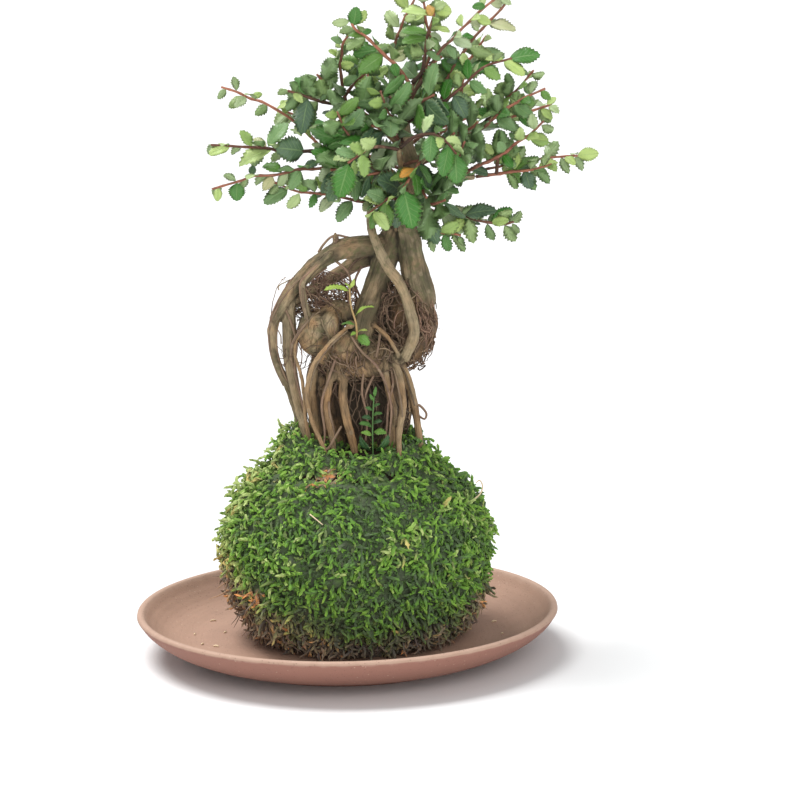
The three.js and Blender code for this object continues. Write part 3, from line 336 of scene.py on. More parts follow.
# Specks: small round dots where a cell's random number is below Share.
def speckGroup():
    tree, given, out = newGroup("specks", {"Vector": ("Vector", None), "Scale": ("Float", 500.0),
                                           "Share": ("Float", 0.2)}, ["Mask"])
    cells = put(tree, "ShaderNodeTexVoronoi", {"Vector": given["Vector"], "Scale": given["Scale"]})
    near = spread(tree, cells.outputs["Distance"], 0.25, 0.4, 1.0, 0.0)
    number = put(tree, "ShaderNodeSeparateColor", {0: cells.outputs["Color"]}).outputs[0]
    chosen = calc(tree, "LESS_THAN", number, given["Share"])
    tree.links.new(times(tree, near, chosen), out["Mask"])
    return tree


mottle, streaks, specks = mottleGroup(), streakGroup(), speckGroup()


def cloudy(tree, place, scale, contrast):
    return useGroup(tree, mottle, {"Vector": place, "Scale": scale, "Contrast": contrast})


def specked(tree, place, scale, share):
    return useGroup(tree, specks, {"Vector": place, "Scale": scale, "Share": share})["Mask"]


def newMaterial(name, roughness, specular):
    material = bpy.data.materials.new(name)
    material.use_nodes = True
    shader = material.node_tree.nodes["Principled BSDF"]
    shader.inputs["Roughness"].default_value = roughness
    shader.inputs["Specular IOR Level"].default_value = specular
    return material, material.node_tree, shader


# Ends a material: its colour, and bumps of a height over a distance in metres.
def finished(made, colour, height, distance, strength):
    material, tree, shader = made
    tree.links.new(colour, shader.inputs["Base Color"])
    bumps = put(tree, "ShaderNodeBump", {"Height": height, "Distance": distance, "Strength": strength})
    tree.links.new(bumps.outputs[0], shader.inputs["Normal"])
    return material


def objectPlace(tree):
    return put(tree, "ShaderNodeTexCoord").outputs["Object"]


# Unglazed clay: matt, fine-grained and a little cloudy, with dark and pale specks, a painted highlight along
# the top of the rim, faint turning rings, and a darker patch round the ball that is partly damp and partly
# painted shade. The outside is redder than the dish.
def clayMaterial(look):
    made = newMaterial("unglazed_clay", 0.72, 0.35)
    tree = made[1]
    place = objectPlace(tree)
    clouds = cloudy(tree, place, 28.0, 1.6)
    colour = blend(tree, clouds["Mask"], look["dark"], look["light"])
    colour = blend(tree, spread(tree, clouds["Fine"], 0.2, 0.9, 0.0, 0.35), colour, look["pink"])
    xyz = put(tree, "ShaderNodeSeparateXYZ", {0: place}).outputs
    flat = put(tree, "ShaderNodeCombineXYZ", {0: xyz[0], 1: xyz[1]}).outputs[0]
    radius = put(tree, "ShaderNodeVectorMath", {0: flat}, operation="LENGTH").outputs["Value"]
    # A darker patch on the dish round the ball's foot: partly damp clay and partly painted shade where the
    # ball shades the dish.
    ballX, dampFrom, dampTo = (value * mm for value in look["damp"])
    ends = {0: flat, 1: (ballX, 0, 0)}
    away = put(tree, "ShaderNodeVectorMath", ends, operation="DISTANCE").outputs["Value"]
    wavy = calc(tree, "ADD", away, spread(tree, clouds["Mask"], 0, 1, -0.006, 0.006))
    damp = spread(tree, wavy, dampFrom, dampTo, 0.55, 0.0)
    inside = spread(tree, xyz[2], *(value * mm for value in look["floorLevel"]))
    normal = put(tree, "ShaderNodeTexCoord").outputs["Normal"]
    facing = put(tree, "ShaderNodeSeparateXYZ", {0: normal}).outputs[2]
    colour = blend(tree, spread(tree, facing, 0.1, -0.2), colour, look["outside"])
    colour = blend(tree, times(tree, damp, inside), colour, look["wet"])
    # Painted highlight: the top of the rim, from a ragged level up, is painted paler.
    level = calc(tree, "ADD", xyz[2], spread(tree, clouds["Fine"], 0, 1, -0.0012, 0.0008))
    rim = spread(tree, level, *(value * mm for value in look["highlightLevel"]))
    colour = blend(tree, times(tree, rim, 0.75), colour, look["worn"])
    dark = specked(tree, place, 1100.0, 0.10)
    pale = specked(tree, place, 900.0, 0.04)
    colour = blend(tree, times(tree, dark, 0.35), colour, look["darkSpeck"])
    colour = blend(tree, times(tree, pale, 0.4), colour, look["paleSpeck"])
    rings = calc(tree, "SINE", times(tree, radius, look["rings"]))
    grit = put(tree, "ShaderNodeTexNoise", {"Vector": place, "Scale": 1500.0, "Detail": 2.0}).outputs["Fac"]
    height = calc(tree, "ADD", grit, times(tree, rings, 0.10))
    height = calc(tree, "SUBTRACT", height, times(tree, dark, 0.5))
    return finished(made, colour, height, 0.00022, 0.6)


# An attribute, moved by up to 0.3 either way by a cloudy pattern.
def wavering(tree, name, cloud):
    return calc(tree, "ADD", attribute(tree, name), spread(tree, cloud, 0, 1, -0.3, 0.3), clamp=True)


# Bark: lengthwise fibres on each stem's own grain, from olive grey to reddish brown by the warmth attribute
# and from dark to light by the pale attribute, with dark grooves, pale scars and green algae, and darkened by
# painted shade where the shade attribute says that it lies deep.
def barkMaterial(name, look):
    made = newMaterial(name, 0.78, 0.3)
    tree = made[1]
    grain = attribute(tree, "grain", "Vector")
    place = objectPlace(tree)
    fibres = useGroup(tree, streaks, {"Vector": grain, "Across": look["across"], "Along": look["along"]})
    patches = cloudy(tree, place, look["patches"], 2.6)
    light = wavering(tree, "pale", fibres["Coarse"])
    olive = blend(tree, light, look["oliveDark"], look["oliveLight"])
    red = blend(tree, light, look["redDark"], look["redLight"])
    colour = blend(tree, wavering(tree, "warmth", patches["Mask"]), olive, red)
    groove = spread(tree, fibres["Fibre"], 0.1, 0.5, look["grooveShare"], 0.0)
    colour = blend(tree, groove, colour, look["groove"])
    colour = blend(tree, times(tree, specked(tree, place, 330.0, 0.16), 0.4), colour, look["scar"])
    algae = times(tree, spread(tree, patches["Fine"], 0.45, 0.9), attribute(tree, "algae"))
    colour = blend(tree, algae, colour, look["algae"])
    # Painted shade: the shade attribute darkens the bark towards the deep colour.
    colour = blend(tree, attribute(tree, "shade"), colour, look["deep"])
    height = calc(tree, "ADD", times(tree, fibres["Coarse"], 0.8), fibres["Fibre"])
    height = calc(tree, "ADD", height, times(tree, patches["Fine"], 0.6))
    return finished(made, colour, height, look["relief"] * mm, 0.8)


# Leaf: colour by the tone attribute, cloudy, paler along the veins and on the underside, with painted light
# along its margin, a midrib and about seven pairs of side veins drawn from the blade's own map (u along it,
# v across it).
def leafMaterial(name, look):
    made = newMaterial(name, look["roughness"], 0.42)
    tree = made[1]
    chart = put(tree, "ShaderNodeUVMap", uv_map="map").outputs[0]
    u, v = put(tree, "ShaderNodeSeparateXYZ", {0: chart}).outputs[:2]
    off = calc(tree, "ABSOLUTE", calc(tree, "SUBTRACT", v, 0.5))
    midrib = spread(tree, off, 0.012, 0.05, 1.0, 0.0)
    climb = calc(tree, "SUBTRACT", u, times(tree, off, 0.55))
    wave = calc(tree, "SINE", times(tree, climb, look["veinWaves"]))
    vein = calc(tree, "MAXIMUM", midrib, times(tree, spread(tree, wave, 0.72, 1.0), 0.6))
    patches = cloudy(tree, objectPlace(tree), 190.0, 2.0)
    colour = ramp(tree, attribute(tree, "tone"), [(i / 5, tone) for i, tone in enumerate(look["tones"])])
    colour = blend(tree, spread(tree, patches["Mask"], 0.2, 0.9, 0.0, 0.2), colour, look["cloud"], "OVERLAY")
    colour = blend(tree, times(tree, vein, look["veinShare"]), colour, look["vein"])
    # Painted light: the margin is lightened, as if light shone through the thin edge.
    ragged = calc(tree, "ADD", off, times(tree, patches["Fine"], 0.12))
    colour = blend(tree, spread(tree, ragged, 0.46, 0.58, 0.0, look["litEdgeShare"]), colour, look["edge"])
    under = spread(tree, attribute(tree, "under"), 0.02, 0.2)
    colour = blend(tree, times(tree, under, 0.65), colour, look["underside"])
    height = calc(tree, "SUBTRACT", times(tree, patches["Fine"], 0.35), vein)
    return finished(made, colour, height, 0.00025, 0.7)


# Moss: the tip attribute carries painted shade and light: dark in the depth of a sprig and low on the ball,
# bright at its tip. Each sprig has its own tone, and the moss is straw brown where dry.
def mossMaterial(name, look):
    made = newMaterial(name, 0.7, 0.2)
    tree = made[1]
    tip, tone = attribute(tree, "tip"), attribute(tree, "tone")
    fresh = [(0.0, look["deep"]), (0.35, look["middle"]), (0.7, look["bright"]), (1.0, look["lime"])]
    # Painted shade: where tip is low the colour falls to the dark base.
    green = blend(tree, spread(tree, tip, 0.0, 0.75), look["base"], ramp(tree, tone, fresh))
    dry = [(0.0, look["brown"]), (0.7, look["straw"]), (1.0, look["rust"])]
    straw = blend(tree, spread(tree, tip, 0.0, 0.6), look["dryBase"], ramp(tree, tone, dry))
    colour = blend(tree, attribute(tree, "dry"), green, straw)
    return finished(made, colour, cloudy(tree, objectPlace(tree), 75.0, 2.2)["Fine"], 0.0003, 0.5)


# Soil: near black crumbs with a few pale grains.
def soilMaterial(look):
    made = newMaterial("damp_soil", 0.95, 0.2)
    tree = made[1]
    place = objectPlace(tree)
    patches = cloudy(tree, place, 240.0, 2.4)
    colour = blend(tree, patches["Mask"], look["dark"], look["light"])
    colour = blend(tree, specked(tree, place, 420.0, 0.08), colour, look["grain"])
    return finished(made, colour, patches["Fine"], 0.0008, 0.9)


clayLook = {"dark": (160, 128, 110), "light": (178, 144, 124), "pink": (184, 146, 126), "wet": (112, 86, 72),
            "outside": (147, 104, 90), "worn": (186, 156, 138), "darkSpeck": (104, 74, 62),
            "paleSpeck": (200, 174, 154), "damp": (4.6, 36, 52), "floorLevel": (5.5, 6.2),
            "highlightLevel": (17.2, 19.2), "rings": 2600.0}
barkLook = {"across": 1.5, "along": 0.16, "patches": 70.0, "relief": 0.4, "grooveShare": 0.42,
            "oliveDark": (92, 86, 64), "oliveLight": (166, 148, 118), "redDark": (106, 84, 64),
            "redLight": (178, 138, 96), "groove": (70, 58, 48), "scar": (168, 150, 123),
            "algae": (92, 98, 62), "deep": (58, 49, 40)}
rootletBarkLook = dict(barkLook, across=3.0, along=0.3, relief=0.12, redDark=(94, 72, 62),
                       redLight=(172, 137, 115))
twigLook = dict(barkLook, across=3.0, along=0.5, relief=0.15, oliveDark=(70, 54, 46),
                oliveLight=(132, 104, 82), redDark=(112, 68, 58), redLight=(196, 130, 104),
                groove=(66, 42, 34), scar=(178, 140, 110))
# edge is the colour of the painted light along a leaf's margin.
leafLook = {"roughness": 0.44, "veinWaves": 46.0, "veinShare": 0.3, "cloud": (128, 144, 96),
            "vein": (156, 186, 120), "edge": (176, 196, 128), "litEdgeShare": 0.4, "underside": (134, 160, 108),
            "tones": [(76, 102, 77), (118, 150, 98), (56, 118, 34), (180, 201, 118), (172, 189, 150),
                      (222, 158, 66)]}
youngLook = dict(leafLook, roughness=0.5, veinShare=0.25,
                 tones=[(46, 82, 44), (84, 132, 56), (136, 176, 70), (176, 204, 88), (188, 202, 106),
                        (182, 138, 94)])
# base is the dark colour of the moss's painted shade.
mossLook = {"deep": (86, 106, 74), "middle": (99, 142, 56), "bright": (128, 169, 66), "lime": (176, 192, 120),
            "base": (76, 85, 65), "brown": (102, 92, 88), "straw": (172, 147, 122), "rust": (230, 150, 86),
            "dryBase": (90, 84, 84)}
clay = clayMaterial(clayLook)
bark = barkMaterial("bark", barkLook)
rootletBark = barkMaterial("rootlet_bark", rootletBarkLook)
twigBark = barkMaterial("twig_bark", twigLook)
leafGreen = leafMaterial("leaf", leafLook)
youngGreen = leafMaterial("young_leaf", youngLook)
mossGreen = mossMaterial("moss", mossLook)
paleStraw = mossMaterial("pale_straw", dict(mossLook, straw=(226, 204, 170)))
soilDark = soilMaterial({"dark": (24, 18, 14), "light": (58, 44, 32), "grain": (150, 128, 100)})
print("materials made")


# Saucer: its profile, rows of radius and height, turned round the upright axis. The wall, the rim and the
# dish are smooth curves through a few points, and the foot's edge is eased.
saucer = {"floor": 6.6, "foot": 58, "sides": 144,
          "wall": [[59.2, 2], [70, 4.2], [80, 8.4], [86.6, 13.4], [90, 17.9]],
          "rim": [[90, 17.9], [89.7, 19.0], [88.7, 19.5], [87.4, 19.2], [86.6, 18.4]],
          "dish": [[86.6, 18.4], [83.4, 14.6], [77, 9.6], [67, 6.6]]}


# Rings of a profile's points round z, (r cos a, r sin a, z), closed at its first and last point on the axis.
def turned(profile, sides):
    angle = np.arange(sides) * 2 * np.pi / sides
    radius, height = np.array(profile, float)[1:-1].T
    ring = np.stack([np.outer(radius, np.cos(angle)), np.outer(radius, np.sin(angle)),
                     np.outer(height, np.ones(sides))], axis=-1).reshape(-1, 3)
    quads, tris = ringFaces(len(radius), sides)
    ends = [[0, 0, profile[0][1]], [0, 0, profile[-1][1]]]
    return {"points": np.concatenate([ring, ends]), "quads": quads, "tris": tris}


def smoothRun(points, count):
    flat = np.column_stack([np.array(points, float), np.zeros(len(points))])
    return curvePlace(flat, np.linspace(0, 1, count))[:, :2].tolist()


def saucerProfile():
    foot = saucer["foot"]
    start = [[r, 0] for r in (0, 15, 30, 45, foot - 1.5)]
    edge = [[foot - 0.5, 0.1], [foot, 0.35], [foot + 0.6, 1.2]]
    floor = [[r, saucer["floor"]] for r in (62, 52, 40, 25, 10, 0)]
    return (start + edge + smoothRun(saucer["wall"], 14) + smoothRun(saucer["rim"], 12)[1:]
            + smoothRun(saucer["dish"], 12)[1:] + floor)


makePiece("clay_saucer", turned(saucerProfile(), saucer["sides"]), clay, "clay", "saucer")
print("saucer made")


# Moss ball: the same profile (rows of height and radius), humps and leaning neck as the solid, as a mat
# with a lumpy surface, dark with painted shade, that thousands of sprigs stand out of. Lumps are rows of
# height, size and seed.
# Each patch is a place and a reach. Each tuft is a place, how far it lifts the sprigs there, and its reach.
ball = {"x": 4.6, "bottom": 6.95, "neckTop": 94, "matDepth": 4.8, "matThickness": 2.4, "soilDepth": 6.5,
        "profile": [[6.95, 37], [8.95, 43], [13, 48.5], [21, 54], [30, 57.3], [39, 59], [48, 59.8],
                    [57, 59.2], [65, 56], [73, 50], [80, 43], [86, 36], [91, 31], [94, 27.5]],
        "soilProfile": [[24, 93.5], [19, 91.6], [12, 90.8], [4, 90.6]], "sides": 200, "rows": 90,
        "lumps": [[1.3, 10, 17], [1.1, 6, 6], [0.6, 2.5, 7]], "dryLevels": (4, 29), "roughness": 0.45,
        "patches": [[-9.2, -32.5, 83.6, 6.6], [-40, -34.5, 33, 5], [-17.8, -54, 37, 2.6], [30, 42, 70, 6],
                    [-44, 20, 60, 5]],
        "tufts": [[-39.5, -1, 77, 4.5, 9], [-25, -1, 93, 3, 6], [-44, -16, 72, 2.5, 8]]}
sprig = {"count": 9600, "rings": 6, "sides": 4, "pieces": 3, "length": (3.6, 7), "seed": 5,
         "out": 0.45, "down": 0.4, "stray": 0.9, "wide": 0.29, "scales": 0.5, "forward": 1.6,
         "steps": (0.7548777, 0.5698403)}
straw = {"count": 900, "rings": 5, "sides": 4, "length": (3.5, 8), "radius": 0.3, "seed": 8}


# Humps that run aslant round the ball and up it: products of two sines, in two sizes.
def mossRelief(angle, z):
    waves = (np.sin(9 * angle + 0.21 * z) * np.sin(0.31 * z + 2 * angle)
             + 0.8 * np.sin(15 * angle - 0.34 * z) * np.sin(0.47 * z - angle + 1))
    return 1.1 * smoothstep(z, ball["bottom"], ball["bottom"] + 12) * waves


# The neck is higher at the left and lower in front: bells exp(-t^2) round those two sides.
def neckLift(angle, z):
    left = np.exp(-(((angle - np.pi) / 0.9) ** 2))
    front = np.exp(-(((angle - 1.5 * np.pi) / 0.9) ** 2))
    return smoothstep(z, 78, ball["neckTop"]) * (4 * left - 5 * front)


# The ball's surface at a share of the way along its profile, from the foot up to the neck and in over the
# soil, and an angle a round it: (r cos a, r sin a, z), with the humps added to r and the lift of the neck
# to z. inset moves it inwards.
mossRoute = np.array([[r, z] for z, r in ball["profile"]] + ball["soilProfile"], float)
mossSteps = np.concatenate([[0], np.cumsum(np.linalg.norm(np.diff(mossRoute, axis=0), axis=1))])


def mossPlace(share, angle, inset=0.0):
    flat = np.column_stack([mossRoute, np.zeros(len(mossRoute))])
    even = np.interp(share * mossSteps[-1], mossSteps, np.linspace(0, 1, len(mossSteps)))
    r, z = np.moveaxis(curvePlace(flat, even)[..., :2], -1, 0)
    slope = curveDirection(flat, even)
    r, z = r - inset * slope[..., 1], z + inset * slope[..., 0]
    r = r + mossRelief(angle, z) * (z < 92)
    return np.stack([ball["x"] + r * np.cos(angle), r * np.sin(angle), z + neckLift(angle, z)], axis=-1)


def mossNormal(share, angle):
    up = mossPlace(share + 2e-3, angle) - mossPlace(share - 2e-3, angle)
    level = mossPlace(share, angle + 4e-3) - mossPlace(share, angle - 4e-3)
    return unit(np.cross(level, up))


# How deep the mat lies under the moss's surface: less at the foot, and least over the soil in the neck.
def matInset(share, depth):
    return depth * (0.35 + 0.65 * smoothstep(share, 0.0, 0.12)) * (1 - 0.85 * smoothstep(share, 0.70, 0.84))


# Points moved out, where they must be, so that they stay above the soil by room.
def aboveSoil(points, room):
    middle = np.array([ball["x"], 0])
    spoke, z = points[..., :2] - middle, points[..., 2]
    radius = np.linalg.norm(spoke, axis=-1)
    levels, radii = np.transpose(ball["profile"])
    soil = np.interp(z, levels, radii) - ball["soilDepth"]
    least = np.where(z < 80, np.maximum(radius, soil + room), radius)
    return np.concatenate([middle + spoke * (least / radius)[..., None], z[..., None]], axis=-1)


def leftAndRight(angle):
    return np.maximum(0, -np.cos(angle)), np.maximum(0, np.cos(angle))


# Rusty patches in the green, each with a ragged edge.
def patched(places):
    patch = np.zeros(places.shape[:-1])
    for x, y, z, reach in ball["patches"]:
        near = np.linalg.norm((places - [x, y, z]) * [0.7, 1, 1], axis=-1) + 1.5 * noise(places, 3, 9)
        patch = np.maximum(patch, 1 - smoothstep(near, 0.5 * reach, reach))
    return patch


# How dry the moss is: all of it at the foot, up to a ragged level that rises on the left and a little on the
# right, and in the patches.
def dryness(places, angle):
    left, right = leftAndRight(angle)
    height = places[..., 2] - 26 * left**2.4 - 10 * right**4
    foot = 1 - smoothstep(height + 8 * noise(places, 13, 3) + 7 * noise(places, 5, 4), *ball["dryLevels"])
    return np.clip(np.maximum(foot, patched(places)), 0, 1)


# How far the moss bulges out in lumps of three sizes, less over the neck.
def mossLumps(places):
    lumps = sum(height * noise(places, size, seed) for height, size, seed in ball["lumps"])
    return lumps * (1 - 0.6 * smoothstep(places[..., 2], 74, 88))


# The mat: outer and inner wall of the moss, closed at the foot and over the soil.
def mossMat():
    angle = np.arange(ball["sides"]) * 2 * np.pi / ball["sides"]
    walls = []
    for inset, rows in ((ball["matDepth"], np.linspace(0, 1, ball["rows"])),
                        (ball["matDepth"] + ball["matThickness"], np.linspace(1, 0.03, ball["rows"] // 3))):
        share, turn = np.meshgrid(rows, angle, indexing="ij")
        places = mossPlace(share, turn, matInset(share, inset))
        lumps = mossLumps(places) - 0.6
        walls.append(places + mossNormal(share, turn) * (lumps * (inset == ball["matDepth"]))[..., None])
    walls[0] = aboveSoil(walls[0], 0.5)
    rough = chance(np.arange(walls[0].size)).reshape(walls[0].shape) - 0.5
    walls[0] += ball["roughness"] * rough
    walls[0][0, :, 2] = ball["bottom"]
    points = np.concatenate(walls).reshape(-1, 3)
    points[:, 2] = np.maximum(points[:, 2], ball["bottom"])
    total, sides = sum(map(len, walls)), ball["sides"]
    i, j = np.meshgrid(np.arange(total), np.arange(sides), indexing="ij")
    near, far = i * sides + j, i * sides + (j + 1) % sides
    quads = np.stack([near, far, (far + sides) % (total * sides), (near + sides) % (total * sides)], axis=-1)
    turn = np.arctan2(points[:, 1], points[:, 0] - ball["x"])
    crumbs, rusty = chance(np.arange(len(points))), patched(points)
    return {"points": points, "quads": quads.reshape(-1, 4), "dry": dryness(points, turn),
            # The mat's tip stays low, so it takes the dark base colour: painted shade in the gaps between the
            # sprigs.
            "tip": 0.3 * crumbs**2 + 0.4 * rusty, "tone": np.maximum(0.5 * crumbs, 0.95 * rusty),
            "flat": True}


makePiece("moss_mat", mossMat(), mossGreen, "moss", "moss_skin")


# A field over the rings and sides of each sprig, with its first and last values again for the two end points.
def withEnds(field):
    around = field.reshape(len(field), -1)
    return np.concatenate([around, field[:, 0, :1], field[:, -1, :1]], axis=1).ravel()


# One sprig for each row of places: a plump shoot of scales that goes along heading and curls towards side.
# At t its path is length (sin(curl t) heading + (1 - cos(curl t)) side) / curl. Scales stand out by turns.
def mossSprigs(places, heading, side, curl, length, tone, dry, deep):
    count, rings, sides = len(places), sprig["rings"], sprig["sides"]
    t = np.linspace(0, 1, rings)
    turn = curl[:, None] * t
    ahead = (np.sin(turn) / curl[:, None])[..., None] * heading[:, None]
    aside = ((1 - np.cos(turn)) / curl[:, None])[..., None] * side[:, None]
    paths = places[:, None] + length[:, None, None] * (ahead + aside)
    sizes = (sprig["wide"] * length**0.5 * (1 - 0.3 * dry))[:, None] * np.interp(
        t, [0, 0.2, 0.6, 0.85, 1], [0.6, 1, 0.95, 0.62, 0.2])
    made = bareShape(sweep(paths, sizes, sides, 0.0, 4))
    corners = rings * sides
    own = chance(np.arange(count * corners)).reshape(count, rings, sides)
    turns = np.where((np.arange(rings)[:, None] + np.arange(sides)) % 2 == 0, 1.0, -1.0)
    out = sprig["scales"] * (0.6 * turns + 1.6 * (own - 0.5))
    points = made["points"].reshape(count, corners + 2, 3)
    forward = unit(np.gradient(paths, axis=1)) * (sizes * (t < 0.95))[..., None]
    away = points[:, :corners].reshape(count, rings, sides, 3) - paths[:, :, None]
    scales = away * out[..., None] + sprig["forward"] * forward[:, :, None] * out[..., None]
    points[:, :corners] += scales.reshape(count, corners, 3)
    # Painted light and shade for the tip attribute: darker at the sprig's foot and on scales that sink,
    # lighter towards its tip and on scales that stand out, all times deep, the painted shade of the ball.
    light = (0.35 + 0.5 * t[:, None] + 0.8 * out) * deep[:, None, None]
    hue = tone[:, None, None] + 0.35 * (t[:, None] - 0.5) + 0.3 * (own - 0.5)
    uneven = 1 + 0.4 * (chance(np.arange(count * (corners + 2))) - 0.5)
    return dict(made, points=points.reshape(-1, 3), tip=withEnds(np.clip(light, 0, 1.2)),
                tone=withEnds(np.clip(hue, 0, 1)), dry=np.clip(np.repeat(dry, corners + 2) * uneven, 0, 1))


# Sprigs stand evenly over the surface by area, on places that go on by two fixed shares of it, lean out and
# down, and rise and sink with the lumps.
def plantMoss():
    random = np.random.default_rng(sprig["seed"])
    count = sprig["count"]
    shares = np.linspace(0.004, 0.985, 400)
    ring = np.linalg.norm(mossPlace(shares, np.zeros(400))[:, :2] - [ball["x"], 0], axis=1)
    area = np.cumsum(ring)  # a ring's area goes with its radius
    order = np.arange(count)
    share, angle = ((order * step + 0.3 * random.random(count) / count**0.5) % 1 for step in sprig["steps"])
    share, angle = np.interp(share, area / area[-1], shares), angle * 2 * np.pi
    places = mossPlace(share, angle, matInset(share, ball["matDepth"]))
    normal = mossNormal(share, angle)
    rise = mossLumps(places) + random.uniform(-0.7, 0.9, count)
    for x, y, z, lift, reach in ball["tufts"]:
        rise += lift * np.exp(-((np.linalg.norm(places - [x, y, z], axis=1) / reach) ** 2))
    places = aboveSoil(places + normal * rise[:, None], 1.2)
    dry = np.clip(dryness(places, angle) + 0.3 * (random.random(count) < 0.06), 0, 1)
    top = smoothstep(places[:, 2], 86, 93)
    down = np.array([0, 0, -1.0]) * ((sprig["down"] + 0.4 * dry) * (1 - top))[:, None]
    stray = randomWays(random, count) * sprig["stray"]
    heading = unit(normal * (sprig["out"] - 0.12 * dry)[:, None] + down + stray)
    heading[:, 2] = np.where(places[:, 2] < 12, np.maximum(heading[:, 2], -0.25), heading[:, 2])
    heading = unit(heading)
    side = 0.9 * randomWays(random, count) - 0.5 * normal - [0, 0, 0.5]
    side = unit(side - dot(side, heading) * heading)
    curl = random.uniform(0.4, 2.6, count)
    small, large = sprig["length"]
    length = (small + (large - small) * random.random(count)) * (1 - 0.4 * top) * (1 + 0.08 * rise)
    length *= (1 - 0.35 * (places[:, 2] < 11)) * (1 + 0.25 * dry)
    left, right = leftAndRight(angle)
    # Tone: each sprig's own by chance, with painted light: higher on raised sprigs, higher up the ball and on
    # its lit left side; lower over the neck.
    tone = np.clip(0.32 + 0.13 * rise + 0.26 * noise(places, 16, 8) + random.normal(0, 0.2, count)
                   + 0.15 * smoothstep(places[:, 2], 30, 80) + 0.3 * left**2 - 0.3 * top, 0, 1)
    # deep is painted shade: darker towards the ball's foot, least on the lit left side and a little on the
    # right, and darker on sprigs that sink among the lumps.
    least = 0.26 + 0.64 * left + 0.15 * right
    deep = (least + (1 - least) * smoothstep(places[:, 2], 8, 34)) * np.clip(1 + 0.27 * rise, 0.45, 1.12)
    rusty = patched(places) > 0.3
    tone = np.where(dry > 0.5, 0.8 * random.random(count), tone)
    tone = np.where(rusty, 0.75 + 0.25 * random.random(count), tone)
    dry = np.where(rusty, 1.0, dry)
    made = mossSprigs(places, heading, side, curl, length, tone, dry, deep)
    low = made["points"][:, 2] < ball["bottom"]
    made["points"][low, 2] = ball["bottom"] + 0.1 * chance(np.flatnonzero(low))
    return made


# The sprigs as a few pieces, so that each stays light.
def splitSprigs(whole, pieces):
    corners, sides = sprig["rings"] * sprig["sides"] + 2, sprig["sides"]
    ends = np.linspace(0, len(whole["points"]) // corners, pieces + 1).astype(int)
    for low, high in zip(ends[:-1], ends[1:]):
        part = {key: whole[key][low * corners:high * corners] for key in ("points", "tip", "tone", "dry")}
        for key, faces in (("quads", sides * (sprig["rings"] - 1)), ("tris", 2 * sides)):
            part[key] = whole[key][low * faces:high * faces] - low * corners
        part["flat"] = True
        yield part


for number, part in enumerate(splitSprigs(plantMoss(), sprig["pieces"]), 1):
    makePiece(f"moss_sprigs_{number}", part, mossGreen, "moss", "moss_skin")


# Straw: dry shoots that hang from the lower half, bent by the square of the way along them.
def mossStraw():
    random = np.random.default_rng(straw["seed"])
    count = straw["count"]
    share, angle = random.uniform(0.03, 0.45, count), random.random(count) * 2 * np.pi
    places = mossPlace(share, angle, ball["matDepth"] - 1.5)
    keep = dryness(places, angle) > random.uniform(0.35, 1.0, count)
    share, angle, places = share[keep], angle[keep], places[keep]
    count = len(places)
    heading = unit(mossNormal(share, angle) * 0.3 + [0, 0, -0.8] + 0.6 * randomWays(random, count))
    bend = 0.4 * random.normal(size=(count, 3)) - 0.3 * mossNormal(share, angle)
    low, high = straw["length"]
    length = random.uniform(low, high, count)[:, None, None]
    t = np.linspace(0, 1, straw["rings"])[None, :, None]
    paths = places[:, None] + length * (heading[:, None] * t + bend[:, None] * t**2)
    paths[..., 2] = np.maximum(paths[..., 2], ball["bottom"] + 0.7 + random.random((count, 1)))
    sizes = straw["radius"] * random.uniform(0.6, 1.2, (count, 1)) * np.array([0.7, 1, 1, 0.8, 0.35])
    # Painted shade: straw is darker towards the ball's foot.
    light = random.uniform(0.2, 0.9, count) * (0.3 + 0.7 * smoothstep(places[:, 2], 10, 30))
    return withMarks(bareShape(sweep(paths, sizes, straw["sides"], 0.0, 2)), count, tip=light,
                     tone=random.uniform(0.2, 0.85, count), dry=np.ones(count))


# Crumbs: short bits of straw on the dish, at x, y, turned by degrees, and of a length, a stem that curls
# out of the moss and a stalk that lies on it.
crumbs = {"radius": 0.34, "level": 6.9, "tone": 0.68, "places": [
    [-59, 26, 10, 2.4], [-62, -12, 60, 1.6], [-56, -16, -20, 2.2], [-53, 6, 35, 1.2], [-66, 4, 80, 1.0],
    [63.6, 14, 20, 2.0], [69, 15, 120, 1.3], [66, -6, 50, 1.0], [58, -30, 100, 1.4], [-40, -60, 15, 1.3]],
    "stem": [[51, -13, 66.5], [54, -13.5, 67.5], [57, -13, 70], [58, -12.5, 73], [56.8, -12, 75.4],
             [55.2, -12.2, 74.4]],
    "stalk": [[-14.5, -52, 71.5], [-12, -53.2, 69.6], [-9.4, -53.6, 67.4]]}


def crumbBits():
    bits = []
    thick = (crumbs["radius"], crumbs["radius"])
    for x, y, turn, length in crumbs["places"]:
        way = np.array([math.cos(math.radians(turn)), math.sin(math.radians(turn)), 0]) * length / 2
        middle = np.array([x, y, crumbs["level"]])
        bits.append(tube([middle - way, middle + [0, 0, 0.3], middle + way], 5, 0.5, 0.2, x, ends=thick))
    bits.append(tube(crumbs["stem"], 6, 0.9, 0.0, 3, ends=(0.4, 0.26)))
    bits.append(tube(crumbs["stalk"], 6, 0.9, 0.0, 3, ends=(0.3, 0.22)))
    return withMarks(bareShape(joinShapes(bits)), 1, tip=[1.0], tone=[crumbs["tone"]], dry=[1.0])


makePiece("moss_straw", mossStraw(), mossGreen, "moss", "moss_skin")
makePiece("straw_crumbs", crumbBits(), paleStraw, "moss", "moss_skin")
print("moss planted:", sprig["count"], "sprigs")


# Soil heart: the solid itself, hidden in the moss, with its own material.
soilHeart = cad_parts["soil_heart"]
soilHeart.data.materials.clear()
soilHeart.data.materials.append(soilDark)


